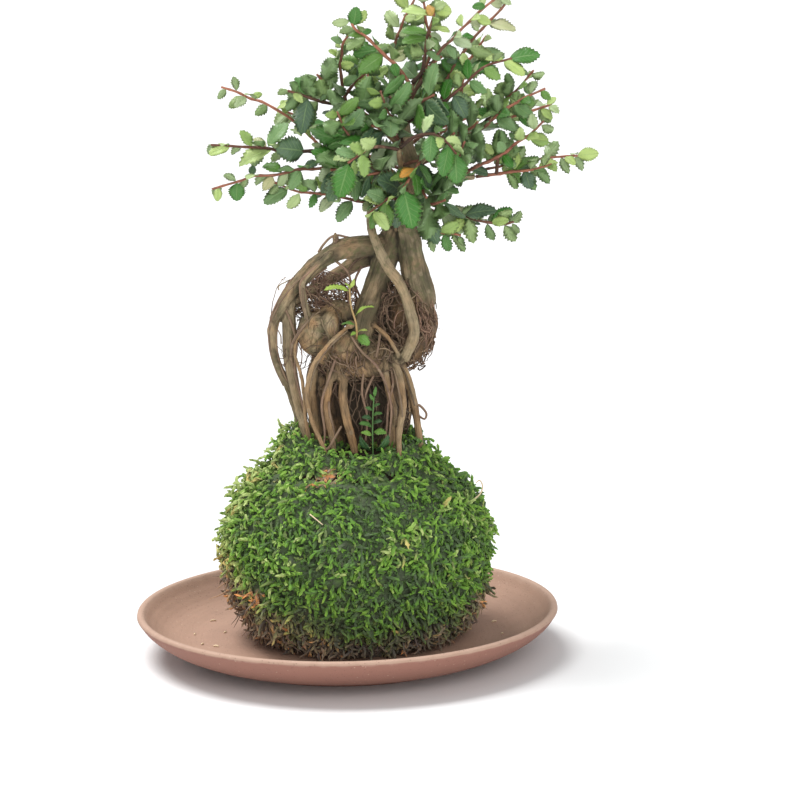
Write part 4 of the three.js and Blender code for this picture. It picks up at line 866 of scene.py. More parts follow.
# Wood: every trunk, root and limb as a line of points [x, y, z, radius], the same as in the solids.
woodLines = {
    "trunks": {
        "right": [[26, 0, 188, 4.6], [29, 0, 177, 4.7], [30, 0, 170, 5], [32, 0, 160, 5.5], [34, 0, 152, 5.8],
            [33, 1, 145, 5.6]],
        "middle": [[27, 3, 190, 4.4], [22, 3, 177, 4.8], [19, 3, 168, 5.2], [15, 2, 157, 5.3],
            [11, 1, 147, 5.6], [8, -1, 137, 6]],
        "top": [[26, 2, 184, 6], [29, 1, 195, 4.6], [31, 0, 204, 3.8], [29, 0, 216, 2.9], [28, 0, 228, 2],
            [31, 0, 241, 1.3]],
        "front": [[13, -7, 192, 1.5], [13, -9, 184, 1.7], [15, -10, 177, 1.9], [19, -11.5, 168, 2.1],
            [25, -12, 159, 2.2], [29, -12, 147, 2.3], [30, -11, 138, 2.3], [26, -6, 127, 2.4]],
    },
    "archRoots": {
        "arch": [[24, 3, 175, 4], [10, 2, 174, 4.3], [2, 1, 173, 4.3], [-6, 0, 169.5, 3.9],
            [-14, -2, 163.5, 3.2], [-22, -3, 155, 2.5], [-28, -3, 144, 1.9], [-29, -3, 134, 1.7],
            [-27, -1, 124, 1.7], [-22, 0, 112, 1.7], [-18, -2, 97, 1.6], [-16, -4, 78, 1.1]],
        "pole": [[-18, 0, 160, 2.4], [-22, -1, 151, 2.5], [-22, -2, 138, 2.5], [-22, -3, 126, 2.4],
            [-19, -6, 109, 2], [-16, -9, 96, 1.8], [-14, -11, 77, 1.2]],
        "inner": [[18, 6, 169, 2.8], [8, 8, 167, 2.8], [0, 9, 162, 2.6], [-9, 6, 157, 2.6], [-20, 0, 152, 2]],
        "strand": [[-4, -4, 172, 1], [-14, -6, 163, 1], [-16, -6, 157, 1.2], [-14, -8, 146, 1.2],
            [-13, -6, 139, 1.2]],
        "stub": [[-1, 0, 173, 1.6], [-2, 0, 180, 0.7]],
    },
    "frontRoots": {
        "loop": [[-11, -7, 147, 1], [-17, -10, 140, 0.9], [-20, -10, 132, 0.9], [-17, -11, 120, 1],
            [-16, -13, 104, 1], [-14, -15, 82, 0.8]],
        "sweep": [[3, -10, 142, 1], [-5, -15, 136, 1], [-12, -16, 127, 1.1], [-15, -16, 115, 1.3],
            [-13, -17, 103, 1.2], [-8, -20, 91, 1.1], [-5, -21, 80, 0.9]],
        "legOne": [[-4, -5, 126, 2], [-6, -11, 116, 1.6], [-7, -12, 106, 1.5], [-5, -13, 94, 1.5],
            [-3, -14, 75, 1]],
        "legTwo": [[2, -5, 125, 2.2], [0, -11, 114, 2], [1, -13, 104, 2], [4, -14, 92, 1.8],
            [6, -15, 72, 1.2]],
        "legThree": [[17, -6, 127, 2], [19, -11.5, 116, 1.8], [21, -12, 104, 1.8], [20, -12, 92, 1.6],
            [19, -13, 73, 1.1]],
        "legFour": [[21, -6, 128, 1.8], [24, -13, 120, 1.6], [25, -16, 109, 1.6], [23, -19, 97, 1.5],
            [23, -21, 84, 1.2]],
        "legFive": [[13, -8, 128, 0.8], [17, -15, 120, 0.8], [21, -15.5, 108, 0.8], [22, -16, 90, 0.7]],
        "legSix": [[23, -3, 127, 2], [27, -5, 119, 1.8], [30, -5, 107, 1.8], [32, -6, 91, 1.7],
            [33, -6, 80, 1.2]],
        "cross": [[13, -4, 142, 1.1], [19, -9, 137, 1.1], [23, -9, 130, 1.1], [24, -4, 125, 1.2]],
    },
    "backRoots": {
        "one": [[-8, 3, 134, 2.6], [-11, 9, 119, 2.1], [-11, 13, 104, 1.8], [-9, 15, 78, 1.2]],
        "two": [[2, 5, 128, 2.6], [1, 13, 113, 2.2], [3, 17, 99, 1.9], [4, 18, 74, 1.2]],
        "three": [[14, 5, 127, 2.6], [15, 12, 112, 2.3], [16, 16, 98, 1.9], [16, 18, 76, 1.2]],
        "four": [[24, 3, 129, 2.4], [26, 9, 114, 2.1], [27, 12, 100, 1.8], [26, 13, 80, 1.2]],
        "left": [[-10, 0, 131, 2.2], [-13, -3, 117, 1.8], [-12, -4, 102, 1.6], [-9, -5, 80, 1.1]],
    },
    "matRoots": {
        "rightMass": [[33, 1, 148, 5.2], [35, 2, 141, 5], [32, 2, 133, 5.2], [26, 1, 127, 4.6],
            [16, 0, 126, 4]],
        "back": [[36, 3, 150, 1.8], [30, 7, 140, 2.2], [24, 8, 128, 2.4], [20, 11, 115, 2]],
    },
    "limbs": {
        "left": [[29, 0, 196, 2.6], [22, -2, 204, 2.2], [11, -4, 210, 1.7], [3, -5, 213, 1.5],
            [-4, -5, 214, 1.3]],
        "right": [[30, 1, 199, 2.4], [40, 2, 201, 1.9], [50, 3, 202, 1.5], [57, 4, 202, 1.2]],
        "rightUp": [[30, 1, 206, 2.2], [40, 4, 214, 1.6], [50, 5, 218, 1.3], [57, 6, 221, 1]],
        "leftUp": [[29, 1, 213, 2], [20, 3, 222, 1.5], [11, 4, 229, 1.1], [5, 4, 233, 1]],
        "rightLow": [[28, 2, 190, 2], [33, 5, 191, 1.5], [37, 6, 191, 1.2]],
        "back": [[30, 1, 197, 2.2], [28, 13, 204, 1.6], [26, 23, 211, 1.2]],
        "front": [[29, -1, 203, 2], [26, -10, 209, 1.4], [25, -19, 216, 1.1]],
    },
}
# Swellings and knobs are eggs: centre and half sizes.
swellings = [[-8, -2, 138, 9, 7.2, 10], [-2, 0, 146, 6.8, 5.8, 6], [8, -2, 127, 18, 9.5, 9.5],
             [2, -6, 131, 8, 5.5, 8], [27, 1, 141, 8.5, 5.5, 15], [19, 4, 140, 7.5, 5, 15],
             [-5, 3, 106, 10, 8.2, 29], [9, 4, 104, 11, 8.7, 31], [19, 3, 108, 7.2, 6.8, 27]]
knobs = [[-12.2, -5.2, 138.5, 6.2, 6.4, 9.2], [-4.8, -6.2, 142, 3.9, 4.6, 6],
         [-7, -4.4, 131.4, 4.4, 5.6, 8], [9.6, -8.2, 124.5, 11, 4.4, 4.8], [-0.4, -6.6, 123, 4.4, 4.4, 6.4],
         [20.5, -4.6, 126.5, 5.6, 4.6, 3.8], [3.6, -7.4, 142.2, 1.9, 3.4, 1.9]]
# Regions of the wood are a centre and half sizes; the core and the cleft mark painted shade. Crease steps are
# how far a fine and a wide crease are felt, for painted shade.
woodLook = {"voxel": 0.72, "sides": 16, "step": 0.8, "eggRings": 26, "eggSides": 40, "block": 6000,
            "lumpyEgg": 0.05, "usualSwell": 0.12, "swell": {"frontRoots": -0.12}, "creaseSteps": (6, 40),
            "regions": {"burl": [[-7, -3, 138], [13, 13, 14]], "core": [[8, 0, 110], [26, 16, 34]],
                        "torn": [[28, 0, 143], [9, 10, 13]], "cleft": [[19, 1, 138], [6.5, 7, 15]]},
            "flute": {"trunks": 0.09, "archRoots": 0.13, "frontRoots": 0.12, "backRoots": 0.12,
                      "matRoots": 0.16, "limbs": 0.08},
            "warmth": {"trunks": 0.14, "archRoots": 0.14, "frontRoots": 0.6, "backRoots": 0.55,
                       "matRoots": 0.8, "limbs": 0.55}, "usualPale": 0.5,
            "pale": {"right": 0.2, "middle": 0.02, "front": 0.6, "pole": 1.0, "arch": 0.12, "inner": 0.15,
                     "rightMass": 0.1, "loop": 0.7, "sweep": 0.65, "legFour": 0.6, "legSix": 0.5}}


# A lumpy egg: centre and half sizes from the row, its skin moved in and out by noise.
def egg(row, lumps):
    centre, half = np.array(row[:3], float), np.array(row[3:], float)
    turn = np.linspace(-np.pi / 2, np.pi / 2, woodLook["eggRings"])
    made = turned(np.column_stack([np.cos(turn), np.sin(turn)]).tolist(), woodLook["eggSides"])
    ways = made["points"]
    made["points"] = centre + ways * half * (1 + lumps * noise(ways * half + centre, 3.2, 11))[:, None]
    return made


# Fuses overlapping closed shapes into one skin by a voxel remesh, and smooths away its steps.
def fuse(shape, voxel):
    rough = addObject("fused", meshFrom("fused", shape))
    remesh = rough.modifiers.new("remesh", "REMESH")
    remesh.mode, remesh.voxel_size = "VOXEL", voxel * mm
    smooth = rough.modifiers.new("smooth", "SMOOTH")
    smooth.factor, smooth.iterations = 0.5, 3
    made = bpy.data.meshes.new_from_object(rough.evaluated_get(bpy.context.evaluated_depsgraph_get()))
    bpy.data.objects.remove(rough)
    quads = loopCorners(made).reshape(-1, 4)
    return {"points": vertexVectors(made, "co") / mm, "quads": quads}, vertexVectors(made, "normal")


# Values at the skin's points, each step the mean of the neighbours' values.
def smoothed(values, quads, steps):
    starts, ends = quads.ravel(), np.roll(quads, -1, axis=1).ravel()
    count = np.bincount(starts, minlength=len(values))
    for _ in range(steps):
        sums = [np.bincount(starts, column[ends], len(values)) for column in values.T]
        values = np.stack(sums, axis=1) / count[:, None]
    return values


# How far each point lies below the mean of its wider surroundings, found by smoothing the skin a few steps:
# positive in a crease and negative on a ridge, in millimetres.
def creases(points, quads, normals, steps):
    return ((smoothed(points, quads, steps) - points) * normals).sum(1)


# For each point the sample of the wood's lines whose skin is nearest, in blocks so that memory stays small.
def nearestSample(points, centres, radii):
    best = np.empty(len(points), int)
    for low in range(0, len(points), woodLook["block"]):
        block = points[low:low + woodLook["block"]]
        square = (block**2).sum(1)[:, None] + (centres**2).sum(1)[None] - 2 * block @ centres.T
        best[low:low + woodLook["block"]] = np.argmin(np.sqrt(np.maximum(square, 0)) - radii[None], axis=1)
    return best


# Samples of every line: place, radius, direction, length so far, the group's warmth and the line's paleness.
def woodSamples():
    rows = []
    for group, lines in woodLines.items():
        for order, (name, line) in enumerate(lines.items()):
            line = np.array(line, float)
            reach = lineLength(line)
            t = np.linspace(0, 1, int(reach) + 2)
            rows.append(np.column_stack([curvePlace(line[:, :3], t), radiusAt(line, t),
                                         curveDirection(line[:, :3], t),
                                         t * reach + 37 * order + 500 * len(rows),
                                         np.full(len(t), woodLook["warmth"][group]),
                                         np.full(len(t), woodLook["pale"].get(name, woodLook["usualPale"]))]))
    return np.concatenate(rows)


# How far points lie from a region's centre, in half sizes.
def regionDistance(points, name):
    centre, half = woodLook["regions"][name]
    return np.linalg.norm((points - centre) / half, axis=1)


# One in a region and none outside it: exp(-d^4) for the distance d.
def inRegion(points, name):
    return np.exp(-(regionDistance(points, name) ** 4))


# The wood's skin. Noise drawn out along each stem moves it in and out as fibrous ridges, less on the burl,
# and rounder noise as lumps. The marks of its bark follow from the ridges, the creases and the regions, with
# painted shade in the core, the creases, the hollows and the cleft.
def woodSkin():
    shapes = []
    for group, lines in woodLines.items():
        swell = woodLook["swell"].get(group, woodLook["usualSwell"])
        for seed, line in enumerate(lines.values()):
            thicker = [[x, y, z, r + swell] for x, y, z, r in line]
            shapes.append(tube(thicker, woodLook["sides"], woodLook["step"], woodLook["flute"][group], seed))
    shapes += [egg(row, woodLook["lumpyEgg"]) for row in swellings] + [egg(row, 0.0) for row in knobs]
    skin, normals = fuse(joinShapes([bareShape(shape) for shape in shapes]), woodLook["voxel"])
    points = skin["points"]
    samples = woodSamples()
    row = samples[nearestSample(points, samples[:, :3], samples[:, 3])]
    off = points - row[:, :3]
    grain = off - dot(off, row[:, 4:7]) * row[:, 4:7]
    lengthwise = row[:, 7] + dot(off, row[:, 4:7])[:, 0]
    grain = np.column_stack([grain[:, 0] + 0.4 * grain[:, 2], grain[:, 1] + 0.4 * grain[:, 2], lengthwise])
    ridge = noise(grain * [1, 1, 0.16], 1.1, 21)
    lump = noise(points, 4.5, 22)
    fine = noise(points, 1.6, 23)
    thick = smoothstep(row[:, 3], 0.8, 3.5)
    warmth, pale = smoothed(row[:, 8:10], skin["quads"], 20).T
    burl = inRegion(points, "burl")
    ridge, lump = ridge * (1 - 0.75 * burl), lump * (1 - 0.8 * burl)
    points += normals * ((0.12 + 0.22 * thick) * ridge + 0.28 * thick * lump + 0.12 * fine)[:, None]
    # deep is painted shade in the core, between the roots.
    deep = 1 - smoothstep(regionDistance(points, "core"), 0.45, 0.75)
    skin["grain"] = grain
    torn, cleft = inRegion(points, "torn"), inRegion(points, "cleft")
    skin["warmth"] = np.clip(warmth + 0.35 * noise(points, 9, 24) + 0.9 * burl * (noise(points, 4, 26) + 0.15)
                             + 0.8 * torn, 0, 1)
    high = smoothstep(points[:, 2], 150, 170)
    skin["algae"] = np.clip(0.3 + 0.5 * burl + 0.4 * high - 0.5 * warmth, 0, 0.8)
    crease, hollow = (creases(points, skin["quads"], normals, steps) for steps in woodLook["creaseSteps"])
    # Painted shade: darker in the core, between the ridges, in the creases and hollows and in the cleft by
    # the stem, with random dark mottles and a darker skin where it turns into the fibre mat.
    skin["shade"] = np.clip(0.9 * deep + 0.25 * smoothstep(-ridge, 0.3, 0.9)
                            + 0.5 * smoothstep(crease, 0.03, 0.25) + 0.7 * smoothstep(hollow, 0.1, 1.2)
                            + 0.24 * smoothstep(noise(points, 3.4, 27), 0.05, 0.6)
                            + 0.3 * torn + 0.45 * cleft, 0, 0.92)
    # Painted shade also lowers the paleness in the creases and hollows.
    skin["pale"] = np.clip(pale + 0.5 * noise(points, 6, 25) - 0.5 * crease - 0.25 * hollow, 0, 1)
    return skin


skin = woodSkin()
makePiece("bark_skin", skin, bark, "bark", "trunk_and_roots")
print("wood made:", len(skin["quads"]), "faces")


# Rootlets. Mats are fibres that creep over an egg: its centre and half sizes, then count, length, radius,
# lean from level (0) to upright (1), how far they stray from the egg, warmth and shade, which is painted
# shade, darkest for the mats behind the stem and among the legs. Strands wind a little round each line of a
# group, so many to a line. The thin ones have their own points. Hairs stand off the eggs.
rootletPlan = {
    "mats": {
        "underArch": [[-8.8, 3, 152.4], [13.4, 4.4, 9.6], 270, 22, 0.29, 0.3, 0.45, 0.8, 0.0],
        "rightMat": [[27.6, 0.6, 141.5], [11.5, 8.8, 19], 330, 18, 0.33, 0.7, 0.24, 0.7, 0.04],
        "behindStem": [[19, 3, 142], [8.8, 6, 16], 230, 16, 0.26, 0.35, 0.2, 0.6, 0.65],
        "head": [[8, -2.5, 127], [18.8, 10.4, 10], 270, 16, 0.32, 0.5, 0.12, 0.75, 0.2],
        "legs": [[7, 2, 107], [21, 11.5, 27], 260, 26, 0.34, 0.92, 0.10, 0.6, 0.5],
        "burl": [[-8, -3, 139], [10.6, 9.4, 12], 70, 18, 0.24, 0.6, 0.06, 0.5, 0.2],
        "outerArch": [[-20, -2, 142], [10, 5, 20], 36, 26, 0.22, 0.9, 0.12, 0.6, 0.3],
    },
    "seed": 12, "rings": 13, "hairs": 220, "hairRings": 6, "hairLength": (2, 5), "hairRadius": 0.14,
    "strands": {"archRoots": 5, "matRoots": 34, "frontRoots": 1, "backRoots": 1}, "strandStep": 2.2,
    "thin": [
        [[30, -6, 107], [32, -6, 107], [34, -6, 105], [35, -6, 103], [34, -6, 101], [31, -5, 103]],
        [[-9, 0, 172], [-7, 0, 175], [-4, 0, 178], [-1, 0, 179], [3, 1, 178], [7, 2, 177]],
        [[-8, -20, 91], [-6, -20.5, 93], [-4, -20.5, 96.5], [-1, -18, 101]],
        [[4, -12, 138], [8, -14, 132], [14, -15, 126], [18, -16, 118], [20, -17, 108], [19, -18, 96]],
        [[16, -8, 138], [15, -12, 133], [14, -12, 129]],
        [[13, -11, 121], [10, -13, 115], [9, -12, 111]],
        [[20, -8, 126], [21, -13, 118], [19, -15, 110], [18, -15, 100], [17, -16, 90]],
        [[-3, -12, 128], [-6, -14, 120], [-9, -14, 110], [-8, -15, 98], [-9, -16, 90]],
        [[9, -11, 124], [8, -13, 114], [10, -14, 104], [9, -15, 94]],
        [[31, -2, 134], [36, -3, 137], [38, -3, 140]],
        [[-24, -3, 150], [-21, -5, 143], [-19, -6, 134], [-20, -6, 124], [-18, -8, 113], [-15, -10, 100]],
        [[-2, 2, 168], [3, 3, 163], [4, 4, 157], [1, 4, 150]],
        [[9, 6, 165], [6, 6, 158], [8, 5, 151], [5, 4, 145]],
    ],
}


# Paths that creep over an egg: each step goes on along the heading, which turns by chance, and is pulled back
# towards the fibre's own level over the egg's skin.
def creep(mat, random):
    centre, half, count, length, radius, lean, stray, warmth, shade = mat
    centre, half, rings = np.array(centre, float), np.array(half, float), rootletPlan["rings"]
    way = randomWays(random, count)
    level = 1 + stray * (random.random(count) - 0.45)[:, None]
    place = centre + half * way * level
    upright = np.where(random.random(count) < 0.5, 1.0, -1.0)[:, None] * [0, 0, 1.0]
    heading = unit(lean * upright + (1 - lean) * randomWays(random, count))
    step = length * random.uniform(0.5, 1.3, count)[:, None] / rings
    path = []
    for ring in range(rings):
        path.append(place)
        heading = unit(heading + 0.26 * random.normal(size=(count, 3)) + 0.12 * lean * upright)
        place = place + heading * step
        out = (place - centre) / half
        reach = np.linalg.norm(out, axis=1, keepdims=True)
        place = centre + half * out / reach * (reach + 0.6 * (level - reach))
    size = radius * random.uniform(0.5, 1.5, count)[:, None] * np.linspace(1.1, 0.55, rings)
    # shade: each fibre's painted shade, the mat's value varied by chance.
    return withMarks(sweep(np.stack(path, axis=1), size, 3, 0.0, 5), count,
                     warmth=np.clip(warmth + random.normal(0, 0.25, count), 0, 1),
                     shade=np.clip(shade + random.normal(0, 0.2, count), 0, 0.85),
                     pale=random.uniform(0.2, 1.0, count))


# Strands that lie on a root and wind slowly round it.
def alongRoot(line, count, random):
    line = np.array(line, float)
    rings = max(8, int(lineLength(line) / rootletPlan["strandStep"]))
    paths, sizes = [], []
    for _ in range(count):
        low = random.uniform(0, 0.5)
        t = np.linspace(low, low + random.uniform(0.35, 0.5), rings)
        centre, along = curvePlace(line[:, :3], t), curveDirection(line[:, :3], t)
        across = unit(np.cross(along, [0.3, 1, 0.2]))
        start, wind, wave = (random.uniform(*span) for span in ((0, 6.28), (-2.5, 2.5), (0, 6)))
        angle = start + wind * t + 0.4 * np.sin(9 * t + wave)
        size = random.uniform(0.25, 0.7)
        off = (radiusAt(line, t) * (0.97 + 0.1 * np.sin(7 * t)) + 0.25 * size)[:, None]
        way = np.cos(angle)[:, None] * across + np.sin(angle)[:, None] * np.cross(along, across)
        paths.append(centre + off * way)
        sizes.append(size * np.sin(np.linspace(0.5, 2.7, rings)) ** 0.5)
    return withMarks(sweep(np.stack(paths), np.stack(sizes), 6, 0.1, 9), count,
                     warmth=random.uniform(0.3, 1, count), shade=random.uniform(0, 0.35, count),
                     pale=random.uniform(0.2, 0.9, count))


def marked(shape, warmth, shade):
    return withMarks(shape, 1, warmth=[warmth], shade=[shade], pale=[0.6])


# Hairs: short curved bristles on the eggs of the mats, pointing out and a little down.
def hairs(random):
    mats = [mat for name, mat in rootletPlan["mats"].items() if name != "outerArch"]
    chosen = random.integers(0, len(mats), rootletPlan["hairs"])
    centre = np.array([mats[k][0] for k in chosen], float)
    half = np.array([mats[k][1] for k in chosen], float)
    way = randomWays(random, len(chosen))
    start = centre + half * way * 0.98
    heading = unit(way + [0, 0, -0.3] + 0.5 * random.normal(size=way.shape))
    bend = 0.7 * random.normal(size=way.shape)
    rings = rootletPlan["hairRings"]
    t = np.linspace(0, 1, rings)[None, :, None]
    length = random.uniform(*rootletPlan["hairLength"], len(chosen))[:, None, None]
    paths = start[:, None] + length * (heading[:, None] * t + bend[:, None] * t**2 * 0.5)
    sizes = np.full((len(chosen), rings), rootletPlan["hairRadius"]) * np.linspace(1, 0.5, rings)
    return marked(sweep(paths, sizes, 4, 0.0, 13), 0.8, 0.2)


def rootlets():
    random = np.random.default_rng(rootletPlan["seed"])
    mats = joinShapes([creep(mat, random) for mat in rootletPlan["mats"].values()])
    runs = [alongRoot(line, count, random) for group, count in rootletPlan["strands"].items()
            for line in woodLines[group].values()]
    thin = [marked(tube(line, 7, 0.9, 0.1, seed, ends=(0.6, 0.42)), 0.75, 0.05)
            for seed, line in enumerate(rootletPlan["thin"])]
    return mats, joinShapes(runs + thin + [hairs(random)])


fibres, strandRoots = rootlets()
makePiece("root_fibres", fibres, rootletBark, "bark", "trunk_and_roots")
makePiece("root_strands", strandRoots, rootletBark, "bark", "trunk_and_roots")
print("rootlets made:", len(fibres["quads"]) + len(strandRoots["quads"]), "faces")


# Leafy twigs, the same table as in the solids: each spray is one or two twigs with points [x, y, z] and a
# radius at the base, and bears leaves by rule with a usual length and the angle of their two rows.
sprays = {
    "leftLong": dict(radius=1, leaves=1, size=11, turn=70, twigs=[
        [[-4.6, -5.2, 214.1], [-12, -6, 215], [-20, -8, 215], [-30, -10, 217], [-41, -12, 218],
         [-52, -13, 219]],
    ]),
    "leftMiddle": dict(radius=0.8, leaves=2, size=11, turn=60, twigs=[
        [[1, -5, 213], [-2, -2, 214], [-8, 2, 217], [-11, 4, 220], [-20, 6, 228], [-30, 8, 234],
         [-36, 9, 236], [-42, 9, 239], [-48, 9, 241]],
    ]),
    "leftUp": dict(radius=0.9, leaves=1, size=10, turn=75, twigs=[
        [[4, 3, 233], [-2, -1, 234], [-9, -4, 236], [-14, -5, 238], [-20, -6, 240]],
    ]),
    "leftLow": dict(radius=0.8, leaves=0, size=9, turn=85, twigs=[
        [[7, -7, 212], [-1, -9, 209], [-9, -10, 208], [-17, -12, 208], [-26, -13, 206],
         [-34, -14, 206], [-41, -15, 204], [-52, -15, 201]],
    ]),
    "leftBottom": dict(radius=0.8, leaves=1, size=12, turn=70, twigs=[
        [[22, -4, 189], [16, -6, 192], [8, -7, 194], [-4, -8, 197], [-12, -9, 198], [-18, -9, 199],
         [-27, -10, 203]],
    ]),
    "upLeft": dict(radius=1, leaves=0, size=10, turn=60, twigs=[
        [[30, -1, 242], [26, -3, 248], [21, -4, 253], [13, -5, 261], [8, -6, 265], [6, -6, 269]],
    ]),
    "upLeftRise": dict(radius=0.8, leaves=1, size=9, turn=60, twigs=[
        [[4, 4, 234], [2, 3, 244], [2, 2, 251], [3, 1, 258], [7, 0, 264]],
        [[3, 4, 236], [6, 5, 240], [9, 6, 243], [14, 7, 247]],
    ]),
    "centreUp": dict(radius=1, leaves=2, size=12, turn=70, twigs=[
        [[31.5, -0.5, 242], [35, -2, 246], [37, -3, 253], [37, -4, 257], [40, -5, 268], [41, -5, 273]],
    ]),
    "centreBack": dict(radius=0.8, leaves=3, size=11, turn=50, twigs=[
        [[30, 1.5, 233], [37, 6, 247], [40, 8, 257], [38, 9, 266], [37, 10, 275], [36, 11, 283]],
    ]),
    "centreLeft": dict(radius=0.8, leaves=3, size=11, turn=90, twigs=[
        [[28, 2, 230], [25, 5, 243], [24, 7, 255], [26, 8, 261], [29, 9, 268], [35, 10, 279]],
    ]),
    "rightUpFront": dict(radius=0.9, leaves=2, size=9, turn=60, twigs=[
        [[30, -1.5, 236], [38, -4, 246], [42, -5, 254], [49, -7, 261], [57, -8, 269], [70, -10, 280]],
    ]),
    "rightUpMiddle": dict(radius=0.9, leaves=3, size=12, turn=70, twigs=[
        [[41, 5, 216], [43, 6, 230], [45, 6, 240], [49, 6, 248], [58, 7, 260], [67, 8, 269],
         [77, 9, 280]],
    ]),
    "rightUpBack": dict(radius=0.8, leaves=2, size=13, turn=40, twigs=[
        [[50, 7, 219], [52, 10, 234], [54, 11, 247], [58, 12, 253], [63, 12, 260]],
    ]),
    "rightArc": dict(radius=0.9, leaves=1, size=11, turn=65, twigs=[
        [[29, -3, 226], [39, -8, 232], [46, -10, 236], [54, -12, 243], [61, -13, 249], [72, -13, 252]],
    ]),
    "rightOne": dict(radius=0.8, leaves=1, size=9, turn=75, twigs=[
        [[58, 6, 221.5], [65, 5, 228], [69, 4, 233], [75, 3, 238], [82, 2, 246]],
    ]),
    "rightTwo": dict(radius=0.8, leaves=2, size=10, turn=80, twigs=[
        [[57, 4.4, 222], [61, -1, 223], [66, -4, 228], [72, -5, 232], [77, -6, 235], [86, -7, 239]],
    ]),
    "rightThree": dict(radius=0.7, leaves=2, size=9, turn=60, twigs=[
        [[58, 8, 221], [66, 9, 223], [73, 10, 226], [83, 10, 229], [90, 10, 231]],
    ]),
    "rightFour": dict(radius=0.9, leaves=2, size=10, turn=85, twigs=[
        [[52, 1, 203.6], [59, -6, 208], [64, -7, 210], [69, -8, 213], [74, -9, 217], [80, -10, 221],
         [85, -11, 226]],
    ]),
    "rightFive": dict(radius=0.9, leaves=0, size=10, turn=80, twigs=[
        [[57.6, 4, 202], [66, 3, 203], [73, 2, 204], [82, 0, 205], [89, -1, 207]],
        [[66, 3, 203], [67, 3, 209], [68, 3, 215]],
    ]),
    "rightFar": dict(radius=0.6, leaves=2, size=8, turn=30, twigs=[
        [[54, 3.4, 202], [59, 8, 204], [66, 11, 205], [73, 13, 206], [85, 13, 208], [97, 13, 209],
         [101, 13, 209]],
    ]),
    "rightLow": dict(radius=0.8, leaves=1, size=9, turn=80, twigs=[
        [[37.6, 6, 191], [47, 4, 188], [57, 3, 184], [68, 2, 182], [73, 1, 183]],
    ]),
    "rightLowUnder": dict(radius=0.6, leaves=0, size=10, turn=45, twigs=[
        [[36, 7.6, 189.6], [44, 10, 185], [50, 11, 182], [56, 12, 181]],
    ]),
    "rightLowSmall": dict(radius=0.6, leaves=0, size=10, turn=80, twigs=[
        [[33, 4, 189], [36, 3, 183], [41, 4, 179], [47, 6, 178], [51, 7, 177]],
    ]),
    "frontLeft": dict(radius=0.8, leaves=0, size=12, turn=70, twigs=[
        [[24.5, -19.4, 216.3], [17, -24, 218], [12, -26, 217], [7, -28, 214], [4, -29, 212]],
    ]),
    "frontRight": dict(radius=0.8, leaves=0, size=12, turn=60, twigs=[
        [[25.6, -19.4, 217], [32, -25, 222], [39, -28, 223], [44, -30, 220], [48, -31, 215]],
    ]),
    "frontLow": dict(radius=0.8, leaves=0, size=12, turn=75, twigs=[
        [[27, -11, 209], [33, -17, 211], [30, -21, 206], [26, -24, 200]],
    ]),
    "frontDown": dict(radius=0.7, leaves=1, size=11, turn=70, twigs=[
        [[27, -1, 189], [26, -12, 194], [21, -17, 196], [17, -20, 194], [12, -21, 190]],
    ]),
    "stemTop": dict(radius=0.7, leaves=1, size=10, turn=60, twigs=[
        [[13, -7.3, 192.4], [13, -9, 198], [14, -10, 204]],
    ]),
    "backLeft": dict(radius=0.9, leaves=6, size=15, turn=30, twigs=[
        [[24, 23, 211.5], [12, 30, 218], [0, 35, 222], [-12, 38, 224], [-22, 39, 228]],
    ]),
    "backRight": dict(radius=0.9, leaves=6, size=15, turn=30, twigs=[
        [[27, 23.5, 211.6], [38, 31, 218], [50, 36, 222], [62, 38, 226], [70, 39, 231]],
    ]),
    "backMiddle": dict(radius=0.9, leaves=5, size=15, turn=20, twigs=[
        [[26, 24, 212], [26, 34, 222], [28, 42, 232], [29, 46, 243]],
    ]),
    "backLow": dict(radius=0.8, leaves=4, size=15, turn=20, twigs=[
        [[28, 13, 202], [24, 24, 198], [18, 35, 195], [12, 44, 197]],
    ]),
    "backTop": dict(radius=0.8, leaves=4, size=14, turn=30, twigs=[
        [[20, 4.5, 223], [16, 13, 234], [13, 21, 246], [13, 25, 256]],
    ]),
    "backHigh": dict(radius=0.8, leaves=4, size=14, turn=30, twigs=[
        [[40, 6, 215], [44, 16, 228], [50, 24, 240], [56, 28, 250]],
    ]),
    "innerLeft": dict(radius=0.7, leaves=5, size=16, turn=50, twigs=[
        [[13, -5.5, 211], [7, -14, 218], [3, -17, 225], [0, -18, 232]],
    ]),
    "innerMiddle": dict(radius=0.7, leaves=5, size=16, turn=60, twigs=[
        [[27, -2.4, 217], [24, -11, 226], [20, -15, 233], [18, -17, 240]],
    ]),
    "innerRight": dict(radius=0.7, leaves=5, size=15, turn=50, twigs=[
        [[40, 0.6, 203], [44, -9, 207], [49, -16, 212], [52, -20, 219]],
    ]),
}

